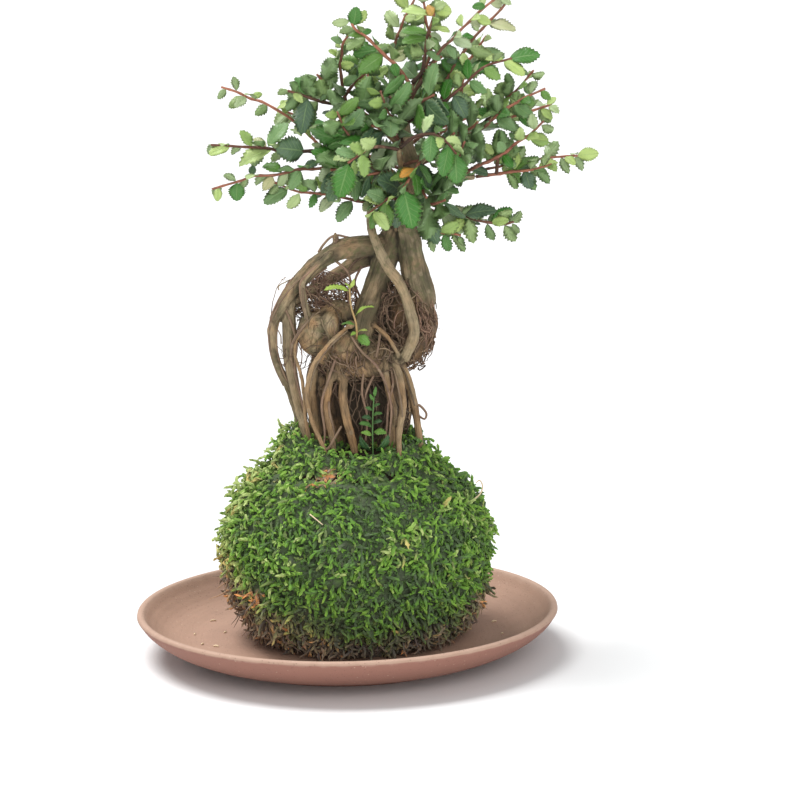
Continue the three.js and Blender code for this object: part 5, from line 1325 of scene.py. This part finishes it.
# Leaves that the photo shows clearly: x, z of the foot, x, z of the tip, how far the tip points back, how
# far the face is tilted up in degrees, width as a share of the length, and tone.
placedLeaves = {
    "leftLong": [
        [-44, 217, -53, 215, -2, 40, 0.55, 3], [-27, 216, -41, 210, -4, 60, 0.55, 3],
        [-30, 217, -37, 218, 2, 55, 0.55, 4], [-29, 217, -20, 227, 3, 55, 0.55, 1],
        [-29, 217, -35, 221, 3, 60, 0.55, 4], [-13, 216, -26, 217, -4, 10, 0.81, 0],
        [-4, 214, -11, 218, -3, 45, 0.55, 4],
    ],
    "leftMiddle": [
        [-25, 231, -17, 234, -3, 55, 0.55, 3], [-11, 220, -14, 223, -3, 45, 0.55, 3],
        [-36, 236, -31, 238, 2, 25, 0.55, 3], [-19, 227, -16, 230, 3, 40, 0.55, 1],
    ],
    "leftUp": [
        [-12, 236, -15, 222, -3, 30, 0.55, 0], [-18, 239, -14, 235, -3, 35, 0.55, 3],
        [-10, 237, -10, 241, 2, 10, 0.84, 1], [-7, 236, -4, 238, -2, 40, 0.55, 1],
    ],
    "leftLow": [
        [-42, 204, -42, 196, -2, 10, 0.85, 2], [-51, 203, -50, 196, -2, 10, 0.63, 3],
        [-36, 206, -35, 210, 3, 10, 0.62, 0], [-27, 206, -31, 200, -3, 10, 0.6, 4],
        [-15, 207, -20, 200, -4, 10, 0.58, 1], [-20, 207, -25, 201, 2, 20, 0.55, 4],
        [-17, 207, -25, 208, -2, 60, 0.55, 1], [-14, 207, -8, 211, 3, 40, 0.55, 0],
        [-2, 210, -8, 203, -3, 10, 0.63, 4],
    ],
    "leftBottom": [
        [-21, 199, -31, 194, -4, 40, 0.55, 1], [-24, 200, -32, 199, 4, 70, 0.55, 1],
        [-6, 197, -10, 196, 3, 30, 0.55, 0], [-14, 198, -11, 201, 4, 55, 0.55, 1],
        [-2, 196, -8, 190, -3, 50, 0.55, 4], [6, 194, -1, 186, -4, 40, 0.55, 1],
    ],
    "upLeft": [
        [8, 266, 9, 274, -2, 10, 0.71, 2], [11, 264, 15, 264, 2, 10, 0.57, 2],
        [13, 261, 5, 262, -3, 60, 0.55, 2], [19, 253, 9, 247, -5, 10, 0.57, 2],
        [16, 255, 7, 254, 4, 10, 0.54, 2], [22, 249, 25, 245, -4, 10, 0.63, 2],
        [22, 249, 30, 255, 3, 15, 0.55, 4],
    ],
    "upLeftRise": [
        [3, 259, -2, 261, -2, 25, 0.55, 1], [6, 263, 3, 265, 2, 45, 0.55, 1],
        [3, 253, -3, 256, -2, 40, 0.55, 3], [2, 251, -3, 249, 3, 45, 0.55, 1],
        [4, 257, 15, 257, -3, 55, 0.55, 2], [2, 241, 9, 245, -3, 30, 0.55, 1],
        [3, 238, -1, 240, 2, 30, 0.55, 1],
    ],
    "centreUp": [
        [38, 263, 27, 263, -3, 55, 0.55, 2], [38, 260, 27, 259, -4, 45, 0.55, 2],
        [40, 269, 27, 272, -3, 60, 0.55, 3], [42, 269, 38, 274, -3, 10, 0.7, 5],
        [42, 272, 48, 271, -2, 10, 0.83, 3], [39, 265, 47, 263, -4, 65, 0.55, 3],
        [38, 262, 44, 259, 3, 40, 0.55, 4], [36, 255, 43, 251, -3, 50, 0.55, 1],
    ],
    "centreBack": [
        [38, 270, 33, 267, -3, 55, 0.55, 3], [39, 256, 48, 250, 3, 50, 0.55, 1],
    ],
    "centreLeft": [
        [26, 262, 23, 260, 2, 25, 0.55, 4], [25, 257, 31, 259, 3, 25, 0.55, 1],
    ],
    "rightUpFront": [
        [48, 260, 56, 257, -3, 25, 0.55, 4], [46, 258, 49, 252, -4, 45, 0.55, 1],
        [62, 273, 56, 273, -3, 20, 0.55, 2], [64, 273, 69, 274, 3, 10, 0.64, 4],
        [55, 267, 60, 265, 2, 30, 0.55, 4],
    ],
    "rightUpMiddle": [
        [64, 265, 75, 262, -3, 50, 0.55, 4], [58, 260, 52, 260, -3, 45, 0.55, 2],
        [54, 254, 53, 248, -3, 45, 0.55, 3], [51, 251, 46, 250, -3, 10, 0.61, 0],
    ],
    "rightUpBack": [
        [55, 247, 68, 245, -4, 45, 0.55, 2], [56, 249, 44, 246, -4, 35, 0.55, 0],
    ],
    "rightArc": [
        [68, 251, 77, 245, -4, 45, 0.55, 3], [69, 251, 61, 252, 3, 55, 0.55, 3],
        [70, 251, 84, 253, 2, 35, 0.55, 2], [48, 238, 53, 228, -4, 10, 0.63, 0],
        [44, 236, 41, 224, -6, 20, 0.55, 2],
    ],
    "rightOne": [
        [80, 244, 76, 246, 2, 30, 0.55, 1], [78, 241, 81, 236, 2, 10, 0.59, 1],
        [69, 235, 73, 238, 2, 10, 0.59, 2], [66, 230, 63, 234, 3, 10, 0.76, 4],
        [64, 228, 58, 230, -3, 10, 0.6, 2],
    ],
    "rightTwo": [
        [73, 232, 81, 227, -4, 15, 0.55, 1], [77, 235, 82, 232, 2, 10, 0.54, 2],
        [65, 228, 74, 222, -5, 25, 0.55, 1],
    ],
    "rightThree": [
        [88, 230, 92, 234, 2, 40, 0.55, 3], [85, 229, 90, 225, -3, 30, 0.55, 3],
        [87, 229, 82, 232, 3, 45, 0.55, 4], [76, 226, 82, 222, -3, 40, 0.55, 2],
    ],
    "rightFour": [
        [79, 220, 87, 218, -3, 55, 0.55, 3], [75, 217, 71, 221, 3, 45, 0.55, 1],
        [62, 223, 66, 218, -4, 10, 0.78, 1], [67, 214, 72, 207, -4, 20, 0.55, 2],
    ],
    "rightFive": [
        [78, 204, 80, 197, -3, 10, 0.81, 0], [74, 204, 74, 213, 2, 45, 0.55, 3],
        [76, 204, 82, 208, 3, 30, 0.55, 0], [83, 205, 92, 208, 3, 55, 0.55, 3],
        [81, 205, 87, 204, -3, 55, 0.55, 1], [73, 204, 84, 210, -4, 65, 0.55, 2],
        [63, 204, 55, 206, -4, 40, 0.55, 0], [68, 209, 71, 214, -3, 10, 0.7, 2],
    ],
    "rightFar": [
        [101, 209, 110, 210, -1, 10, 0.6, 3],
    ],
    "rightLow": [
        [53, 188, 66, 188, -4, 45, 0.55, 0], [64, 186, 73, 188, 3, 10, 0.55, 2],
        [64, 186, 71, 184, -3, 20, 0.55, 3], [44, 189, 58, 182, 3, 70, 0.55, 4],
    ],
    "rightLowUnder": [
        [43, 187, 52, 178, -3, 35, 0.55, 4], [55, 182, 60, 181, 2, 55, 0.55, 0],
    ],
    "rightLowSmall": [
        [34, 188, 41, 174, -4, 40, 0.55, 0], [38, 183, 45, 176, 4, 55, 0.55, 1],
    ],
    "frontLeft": [
        [4, 211, 0, 198, -2, 10, 0.7, 2], [17, 218, 0, 220, 4, 65, 0.55, 2],
        [11, 216, 6, 206, 5, 25, 0.55, 0],
    ],
    "frontRight": [
        [48, 214, 48, 203, -2, 10, 0.76, 1.9], [44, 218, 42, 206, -4, 10, 0.54, 1.8],
        [38, 223, 37, 212, -5, 10, 0.61, 1.8],
    ],
    "frontLow": [
        [27, 200, 30, 184, -2, 10, 0.67, 1.8], [30, 208, 23, 204, 3, 10, 0.66, 2],
        [32, 208, 25, 205, -5, 40, 0.55, 5], [33, 212, 37, 198, 4, 30, 0.55, 0],
    ],
    "frontDown": [
        [20, 194, 19, 183, -3, 20, 0.55, 2], [15, 190, 20, 184, -5, 40, 0.55, 3],
        [22, 195, 24, 183, 4, 50, 0.55, 0],
    ],
    "stemTop": [
        [16, 194, 10, 190, -3, 10, 0.72, 4], [16, 199, 11, 203, -3, 10, 0.54, 2],
    ],
    "innerLeft": [
        [18, 216, 27, 214, -6, 10, 0.83, 4],
    ],
    "innerMiddle": [
        [25, 232, 22, 221, -5, 10, 0.83, 1],
    ],
}
# Short twigs that fill the middle of the crown, in front and behind, between those of the solids.
innerTwigs = [
    [[11, 4, 229], [6, -6, 232], [2, -12, 228]], [[20, 3, 222], [14, -8, 228], [8, -14, 234]],
    [[29, 0, 216], [22, -10, 222], [14, -16, 226]], [[28, 0, 228], [24, 8, 234], [18, 14, 238]],
    [[28, 0, 228], [34, -9, 234], [40, -14, 238]], [[40, 2, 201], [42, -10, 204], [46, -18, 206]],
    [[40, 4, 214], [44, -8, 218], [48, -15, 222]], [[22, -2, 204], [18, -12, 206], [12, -18, 206]],
    [[11, -4, 210], [4, -12, 208], [-3, -15, 208]], [[31, 0, 204], [34, -10, 200], [36, -18, 196]],
    [[30, -1, 199], [24, -9, 196], [20, -15, 198]], [[29, 1, 195], [38, -6, 192], [44, -9, 194]],
    [[5, 4, 233], [-2, 4, 238], [-8, 2, 246]], [[50, 5, 218], [54, -4, 222], [58, -10, 226]],
    [[28, 13, 204], [18, 20, 208], [8, 24, 212]], [[28, 13, 204], [40, 20, 208], [50, 24, 212]],
    [[29, 0, 216], [30, 12, 226], [28, 20, 236]], [[40, 4, 214], [44, 14, 220], [50, 22, 222]],
    [[20, 3, 222], [10, 12, 226], [2, 20, 228]], [[22, -2, 204], [14, 6, 205], [4, 10, 207]],
    [[31, 0, 240], [36, 4, 246], [44, 6, 252]],
]
innerSpray = dict(leaves=6, size=15.5, turn=35, start=0.22, young=0)
budSpray = dict(leaves=8, size=9.4, turn=45, start=0.3, young=1.0)
budBlade = dict(rows=14, teeth=0.14, arch=0.45)
smallBlade = dict(rows=16, teeth=0.16, arch=0.75)
twigRule = {"sides": 7, "step": 1.1, "thinner": 0.72, "extra": 0.2, "tip": 0.46, "innerRadius": 0.75,
            "innerTip": 0.5, "budStep": 5.5, "zigzag": 0.28, "swell": 0.28, "flute": 0.06}
leafRule = {"crown": [28, 0, 215], "crownHalf": [70, 45, 60], "gap": 3.0, "tries": 12, "arch": 0.3,
            "stalk": 0.2, "wide": 0.55, "fold": 0.16, "thick": 0.22, "teeth": 0.1}


# A leaf is a row: base, along, face, size, width, tone. leafAxes gives its three directions.
def leafAxes(along, face):
    along = unit(np.asarray(along, float))
    up = unit(face - dot(face, along) * along)
    return along, up, np.cross(up, along)


# Eight points of a leaf, on its midrib and its edges, that show how near other leaves are.
def leafMarks(base, along, face, size, wide):
    along, up, across = leafAxes(along, face)
    u = np.array([0.3, 0.6, 0.8, 1, 0.3, 0.3, 0.64, 0.64])[:, None]
    v = np.array([0, 0, 0, 0, 0.4, -0.4, 0.38, -0.38])[:, None]
    return (base + along * (leafRule["stalk"] + u * size) + across * v * wide * size
            + up * leafRule["arch"] * u * (1 - u) * size)


# A placed leaf starts at the nearest of 59 points on each of its twigs, none of them at the very tip.
def placedLeaf(row, twigs):
    x, z, tipX, tipZ, behind, tilt, wide, tone = row
    marks = np.concatenate([curvePlace(twig, np.arange(59) / 60) for twig in twigs])
    base = marks[np.argmin(np.hypot(marks[:, 0] - x, marks[:, 2] - z))]
    along = np.array([tipX - base[0], behind, tipZ - base[2]])
    angle = math.radians(tilt)
    size = np.linalg.norm(along) - leafRule["stalk"]
    return base, along, np.array([0, -math.cos(angle), math.sin(angle)]), size, wide, tone


# Leaves by rule stand in two rows that take turns, and try a few ways to lie until they clear the others.
def ruledLeaves(twig, spray, seed, taken):
    made = []
    for i in range(spray["leaves"]):
        t = spray["start"] + (1 - spray["start"]) * (i + 0.5) / spray["leaves"]
        place, ahead = curvePlace(twig, t), curveDirection(twig, t)
        level = unit(np.array([-ahead[1], ahead[0], 0]))
        lift = np.cross(ahead, level)
        outward = unit(place - leafRule["crown"]) + [0, 0, 0.6]
        side, best = (1 if i % 2 == 0 else -1), None
        for k in range(leafRule["tries"]):
            draw = chance(seed * 97 + i * 13 + k * 5 + np.arange(4)) - 0.5
            turn = math.radians(spray["turn"] + 70 * draw[0] + (60 if k > 5 else 0))
            row = level * math.cos(turn) + lift * math.sin(turn)
            along = ahead * (0.55 + 0.3 * draw[1]) + row * side * 0.85 - [0, 0, 0.2]
            face = np.cross(ahead, row)
            face = (-face if face @ outward < 0 else face) + row * 0.5 * draw[2] - 0.2 * ahead
            size = spray["size"] * (1.05 + 0.4 * draw[3]) * (1 - 0.3 * t * t)
            wide = leafRule["wide"] * (1 + 0.25 * draw[1])
            marks = leafMarks(place, along, face, size, wide)
            room = np.linalg.norm(marks[:, None] - np.array(taken)[None], axis=-1).min()
            if best is None or room > best[0]:
                best = room, (place, along, face, size, wide)
            if room > leafRule["gap"]:
                break
        # Tone rises with the square of the distance from the crown's middle, with a share by chance: painted
        # shade darkens the leaves within the crown, and young buds are paler further out.
        reach = np.linalg.norm((place - leafRule["crown"]) / leafRule["crownHalf"])
        tone = 0.4 + 2.9 * reach**2 + 2.8 * (chance(seed * 31 + i * 7) - 0.5) + 1.2 * spray["young"] * reach
        tone = np.clip(tone, 0, 3.1 + 0.5 * spray["young"])
        made.append((*best[1], tone))
        taken.extend(leafMarks(*best[1]))
    return made


# Blades, all at once. Half width = 1.03 w/2 sin(pi s^0.86)^0.7 for s along the blade, narrow as a stalk at
# the foot, with every other row pulled in for the saw teeth. Height = arch u(1-u) + fold |x|, a droop at
# the tip and a slow ripple. The underside shares the edge and lies a leaf's thickness lower at the midrib.
def blades(leaves, rows=20, teeth=leafRule["teeth"], arch=leafRule["arch"]):
    base, along, face, size, wide, tone = (np.array(column, float) for column in zip(*leaves))
    along, up, across = leafAxes(along, face)
    count = len(size)
    own = chance(np.arange(count) * 3 + size)[:, None, None]
    own2 = chance(np.arange(count) * 5 + 2 * size)[:, None, None]
    u = np.concatenate([[0, 0.05], np.linspace(0.1, 1, rows - 1)])[:, None]
    s = np.clip((u - 0.07) / 0.93, 0, 1)
    half = 0.5 * np.sin(np.pi * s**0.86) ** 0.7 * 1.03
    tooth = np.where(np.arange(rows + 1) % 2 == 0, 1.0, -1.0)[:, None] * teeth
    uneven = 0.5 + chance(np.arange(rows + 1) * 11 + 100 * own[:, 0])[:, :, None]
    half = np.maximum(half * (1 + tooth * uneven * (s > 0.05)), 0.02 * (u < 0.3))
    half[:, -1] = 0
    v = np.array([-1, -0.5, 0, 0.5, 1.0])[None, :]
    forward = 0.035 * np.abs(v) * (tooth > 0) * (s > 0.05) * (s < 0.97)
    scale = size[:, None, None]
    x = scale * wide[:, None, None] * half * v
    z = leafRule["stalk"] + scale * (u + forward)
    ripple = 0.025 * np.sin(10 * u + 12 * own) * v * scale * (s > 0.05)
    y = (scale * (arch * u * (1 - u) - 0.10 * (own2 - 0.3) * u**3)
         + leafRule["fold"] * (0.4 + own) * np.abs(x) + ripple)
    top = (base[:, None, None] + x[..., None] * across[:, None, None] + z[..., None] * along[:, None, None]
           + y[..., None] * up[:, None, None])
    low = top[:, 1:-1, 2] - up[:, None] * leafRule["thick"]
    inside = top[:, 1:-1].reshape(count, -1, 3)
    points = np.concatenate([top[:, 0, 2:3], inside, top[:, -1, 2:3], low], axis=1)
    total, inner, tip = points.shape[1], rows - 1, 1 + (rows - 1) * 5
    rim = 1 + np.arange(inner) * 5
    middle = tip + 1 + np.arange(inner)
    near = (rim[:-1, None] + np.arange(4)).ravel()
    quads = np.concatenate([np.stack([near, near + 5, near + 6, near + 1], axis=1),
                            np.stack([rim[:-1], middle[:-1], middle[1:], rim[1:]], axis=1),
                            np.stack([middle[:-1], rim[:-1] + 4, rim[1:] + 4, middle[1:]], axis=1)])
    ends = [[0, 1 + j, 2 + j] for j in range(4)] + [[0, middle[0], 1], [0, 5, middle[0]]]
    ends += [[tip, rim[-1] + j + 1, rim[-1] + j] for j in range(4)]
    ends += [[tip, rim[-1], middle[-1]], [tip, middle[-1], rim[-1] + 4]]
    shift = (np.arange(count) * total)[:, None, None]
    cells = np.stack(np.broadcast_arrays(u[1:-1], 0.5 + 0.5 * v), axis=-1)
    chart = np.concatenate([[[0, 0.5]], cells.reshape(-1, 2), [[1, 0.5]],
                            np.column_stack([u[1:-1, 0], np.full(inner, 0.5)])])
    under = np.concatenate([np.zeros(tip + 1), np.ones(inner)])
    shade = (tone + 0.5 * (own[:, 0, 0] - 0.5)).clip(0, 5) / 5
    return {"points": points.reshape(-1, 3), "quads": (quads + shift).reshape(-1, 4),
            "tris": (np.array(ends) + shift).reshape(-1, 3), "map": np.tile(chart, (count, 1)),
            "under": np.tile(under, count), "tone": np.repeat(shade, total)}


# A twig: a thin tube with a slight zigzag, a wave of the way along it, and a swelling at each bud where the
# wave peaks. It is redder towards its end.
def twigTube(points, radius, tip, seed):
    reach = lineLength(points)
    t = np.linspace(0, 1, max(8, int(reach / twigRule["step"])) + 1)
    along = curveDirection(points, t)
    across = unit(np.cross(along, [0.2, 0.3, 1]))
    buds = np.sin(np.pi * t * reach / twigRule["budStep"] + seed)
    off = twigRule["zigzag"] * buds * np.sin(np.pi * t) ** 0.5
    size = (radius + (tip - radius) * t) * (1 + twigRule["swell"] * np.abs(buds) ** 8)
    path = curvePlace(points, t) + across * off[:, None]
    made = sweep(path[None], size[None], twigRule["sides"], twigRule["flute"], seed)
    rings = np.clip(0.25 + 0.75 * t + 0.7 * (chance(seed) - 0.5), 0, 1)
    made["warmth"] = np.concatenate([np.repeat(rings, twigRule["sides"]), rings[:1], rings[-1:]])
    made["shade"] = 0.35 * (1 - made["warmth"])
    made["pale"] = np.clip(0.2 + 0.4 * made["warmth"] + 0.5 * (chance(seed + 7) - 0.5), 0, 1)
    return made


def nodeName(name):
    return "leafy_twig_" + "".join("_" + c.lower() if c.isupper() else c for c in name)


def growSprays():
    placed, taken = {}, []
    for name, spray in sprays.items():
        placed[name] = [placedLeaf(row, spray["twigs"]) for row in placedLeaves.get(name, [])]
        for leaf in placed[name]:
            taken.extend(leafMarks(*leaf[:5]))
    total = 0
    for index, (name, spray) in enumerate(sprays.items()):
        rule = dict(spray, start=innerSpray["start"], young=0)
        ruled = [leaf for k, twig in enumerate(spray["twigs"])
                 for leaf in ruledLeaves(twig, rule, index * 3 + k + 1, taken)]
        leaves, node = placed[name] + ruled, nodeName(name)
        radius = twigRule["thinner"] * (spray["radius"] + twigRule["extra"])
        stems = [twigTube(twig, radius, twigRule["tip"], index + 50 * k)
                 for k, twig in enumerate(spray["twigs"])]
        makePiece(node + "_stem", joinShapes(stems), twigBark, "bark", node)
        if leaves:
            makePiece(node + "_leaves", blades(leaves), leafGreen, "leaf", node)
        buds = [leaf for k, twig in enumerate(spray["twigs"])
                for leaf in ruledLeaves(twig, budSpray, 600 + index * 3 + k, taken)]
        makePiece(node + "_buds", blades(buds, **budBlade), leafGreen, "leaf", node)
        total += len(leaves) + len(buds)
    inner = [leaf for order, twig in enumerate(innerTwigs)
             for leaf in ruledLeaves(twig, innerSpray, 400 + order, taken)]
    # Painted shade: leaves within the crown keep a darker tone.
    inner = [(*leaf[:5], min(leaf[5], 2.2)) for leaf in inner]
    stems = [twigTube(twig, twigRule["innerRadius"], twigRule["innerTip"], 90 + order)
             for order, twig in enumerate(innerTwigs)]
    makePiece("inner_twigs", joinShapes(stems), twigBark, "bark", nodeName("innerMiddle"))
    makePiece("inner_leaves", blades(inner), leafGreen, "leaf", nodeName("innerMiddle"))
    print("sprays grown:", len(sprays), "with", total, "leaves and", len(inner), "more within")


growSprays()


# Small plants: a young shoot on the bared roots and a seedling in the moss. Leaves: foot, along, face, size,
# width, tone.
smallPlants = {
    "root_shoot": {
        "slot": "young_leaf", "radius": 0.5, "stemTone": 1.0,
        "stem": [[6, -7, 136], [6.3, -12, 138], [6, -15.5, 144], [4, -17, 152], [3.6, -17, 160]],
        "leaves": [
            [[3.9, -17, 157.5], [-1, -0.15, 0.12], [0, -0.55, 0.85], 11, 0.3, 3.3],
            [[3.7, -17, 158.6], [0.45, 0.1, 1], [0.3, -1, 0], 4.5, 0.4, 3.7],
            [[3.7, -17, 158.4], [-0.5, -0.4, 0.7], [0.3, -0.6, 0.7], 3.6, 0.4, 3.4],
            [[5.6, -16, 147], [1, -0.15, 0.5], [0, -0.4, 0.9], 9, 0.25, 2.6],
            [[6.1, -15.1, 143], [-1, -0.2, 0.1], [0, -0.45, 0.9], 6.2, 0.36, 1.4],
            [[6.3, -13.2, 139.6], [1, -0.5, 0.25], [0, -0.5, 1], 5, 0.36, 4.3],
            [[6.3, -13.4, 140], [-0.7, -0.5, -0.3], [0, -0.8, 0.6], 3.2, 0.5, 2.4],
            [[6.3, -12.4, 138.4], [0.8, -0.3, -0.6], [0.2, -1, 0.3], 6.6, 0.66, 1.1],
        ]},
    "seedling": {
        "slot": "leaf", "radius": 0.34, "stemTone": 0.1,
        "stem": [[12, -18.5, 84.5], [12, -19, 99], [12.4, -19, 108], [13, -19, 114]],
        "leaves": [
            [[11.6, -18.8, 90], [-0.5, -0.35, 0.85], [-0.6, -1, 0], 10, 0.34, 0.1],
            [[12.8, -18.8, 90], [0.6, -0.35, 0.85], [0.6, -1, 0], 10.5, 0.34, 0.2],
            [[12, -19, 97], [-1, -0.4, 0.35], [0, -0.8, 0.6], 5.5, 0.42, 1.6],
            [[12.1, -19, 98.5], [0.95, -0.4, -0.05], [0, -0.8, 0.6], 6.2, 0.5, 1.2],
            [[12, -19, 100.5], [-0.8, -0.4, 0.3], [0, -0.7, 0.7], 6.6, 0.4, 0.7],
            [[12.1, -19, 102], [0.7, -0.5, 0.25], [0, -0.7, 0.7], 5, 0.5, 0.3],
            [[12.1, -19, 104], [-0.95, -0.3, 0.25], [0, -0.8, 0.6], 4.8, 0.45, 0.2],
            [[12.2, -19, 105.5], [0.9, -0.3, 0.25], [0, -0.7, 0.7], 4.2, 0.45, 0.7],
            [[12.3, -19, 107.5], [-0.8, -0.3, 0.4], [0, -0.8, 0.6], 3.8, 0.45, 0.2],
            [[12.4, -19, 109], [0.8, -0.3, 0.4], [0, -0.7, 0.7], 3.4, 0.45, 0.4],
            [[12.6, -19, 111.5], [-0.4, -0.2, 0.9], [0, -1, 0.2], 3.6, 0.36, 0.9],
            [[12.8, -19, 113], [0.2, -0.2, 1], [0, -1, 0.2], 5, 0.3, 1.0],
        ]},
}


def growSmallPlants():
    for name, plant in smallPlants.items():
        stem = tube(plant["stem"], 7, 0.9, 0.05, 4, ends=(plant["radius"], 0.7 * plant["radius"]))
        made = blades(plant["leaves"], **smallBlade)
        corners = len(stem["points"])
        stem = dict(bareShape(stem), map=np.full((corners, 2), 0.2), under=np.zeros(corners),
                    tone=np.full(corners, plant["stemTone"]))
        makePiece(name + "_plant", joinShapes([stem, made]), youngGreen, plant["slot"], name)
    print("small plants grown")


growSmallPlants()


# Floor, light and camera. The camera's place is in metres and its turns are degrees.
view = {"lens": 125.55, "sensor": 36, "place": (0, -1.160455, 0.324522), "down": 10.5517, "right": 1.1877,
        "roll": 1.0}
floorLook = {"reach": 15.0, "light": 0.82}
lights = [("key_light", "SUN", (-0.5, 0.25, 1.4), (0, 0, 0), 32, 3.2),
          ("front_light", "AREA", (0.5, -1.6, 0.8), (0, 0, 0.12), 1.4, 15)]
skyLook = {"colour": (0.96, 0.982, 1, 1), "strength": 0.55}


# Adds a camera or light at a place. Its three directions are columns: to its right, up and back.
def addPlaced(name, data, right, upward, back, place):
    made = addObject(name, data)
    turn = np.eye(4)
    turn[:3] = np.column_stack([right, upward, back, place])
    made.matrix_world = Matrix(turn.tolist())
    return made


def addCamera():
    pitch, yaw, roll = (math.radians(view[key]) for key in ("down", "right", "roll"))
    ahead = np.array([math.sin(yaw) * math.cos(pitch), math.cos(yaw) * math.cos(pitch), -math.sin(pitch)])
    side = unit(np.cross(ahead, [0, 0, 1]))
    top = np.cross(side, ahead)
    right = side * math.cos(roll) - top * math.sin(roll)
    upward = side * math.sin(roll) + top * math.cos(roll)
    data = bpy.data.cameras.new("camera")
    data.lens, data.sensor_width = view["lens"], view["sensor"]
    bpy.context.scene.camera = addPlaced("camera", data, right, upward, -ahead, view["place"])


# A light that shines from place towards aim. size is degrees for a sun and metres for an area.
def addLight(name, kind, place, aim, size, power):
    data = bpy.data.lights.new(name, kind)
    data.energy = power
    if kind == "SUN":
        data.angle = math.radians(size)
    else:
        data.size = size
    back = unit(np.array(place, float) - aim)
    side = unit(np.cross([0, 0, 1], back))
    addPlaced(name, data, side, np.cross(back, side), back, place)


def addFloor():
    mesh = bpy.data.meshes.new("floor")
    x, y, light = floorLook["reach"], floorLook["reach"], floorLook["light"]
    mesh.from_pydata([(-x, -y, 0), (x, -y, 0), (x, y, 0), (-x, y, 0)], [], [(0, 1, 2, 3)])
    material, tree, shader = newMaterial("pale_floor", 0.9, 0.1)
    shader.inputs["Base Color"].default_value = (light, light, light, 1)
    mesh.materials.append(material)
    floor = addObject("floor", mesh)


addCamera()
addFloor()
for light in lights:
    addLight(*light)
world = bpy.data.worlds.new("studio")
world.use_nodes = True
background = world.node_tree.nodes["Background"].inputs
background[0].default_value, background[1].default_value = skyLook["colour"], skyLook["strength"]
bpy.context.scene.world = world
bpy.context.scene.view_settings.view_transform = "Standard"
print("stage set")
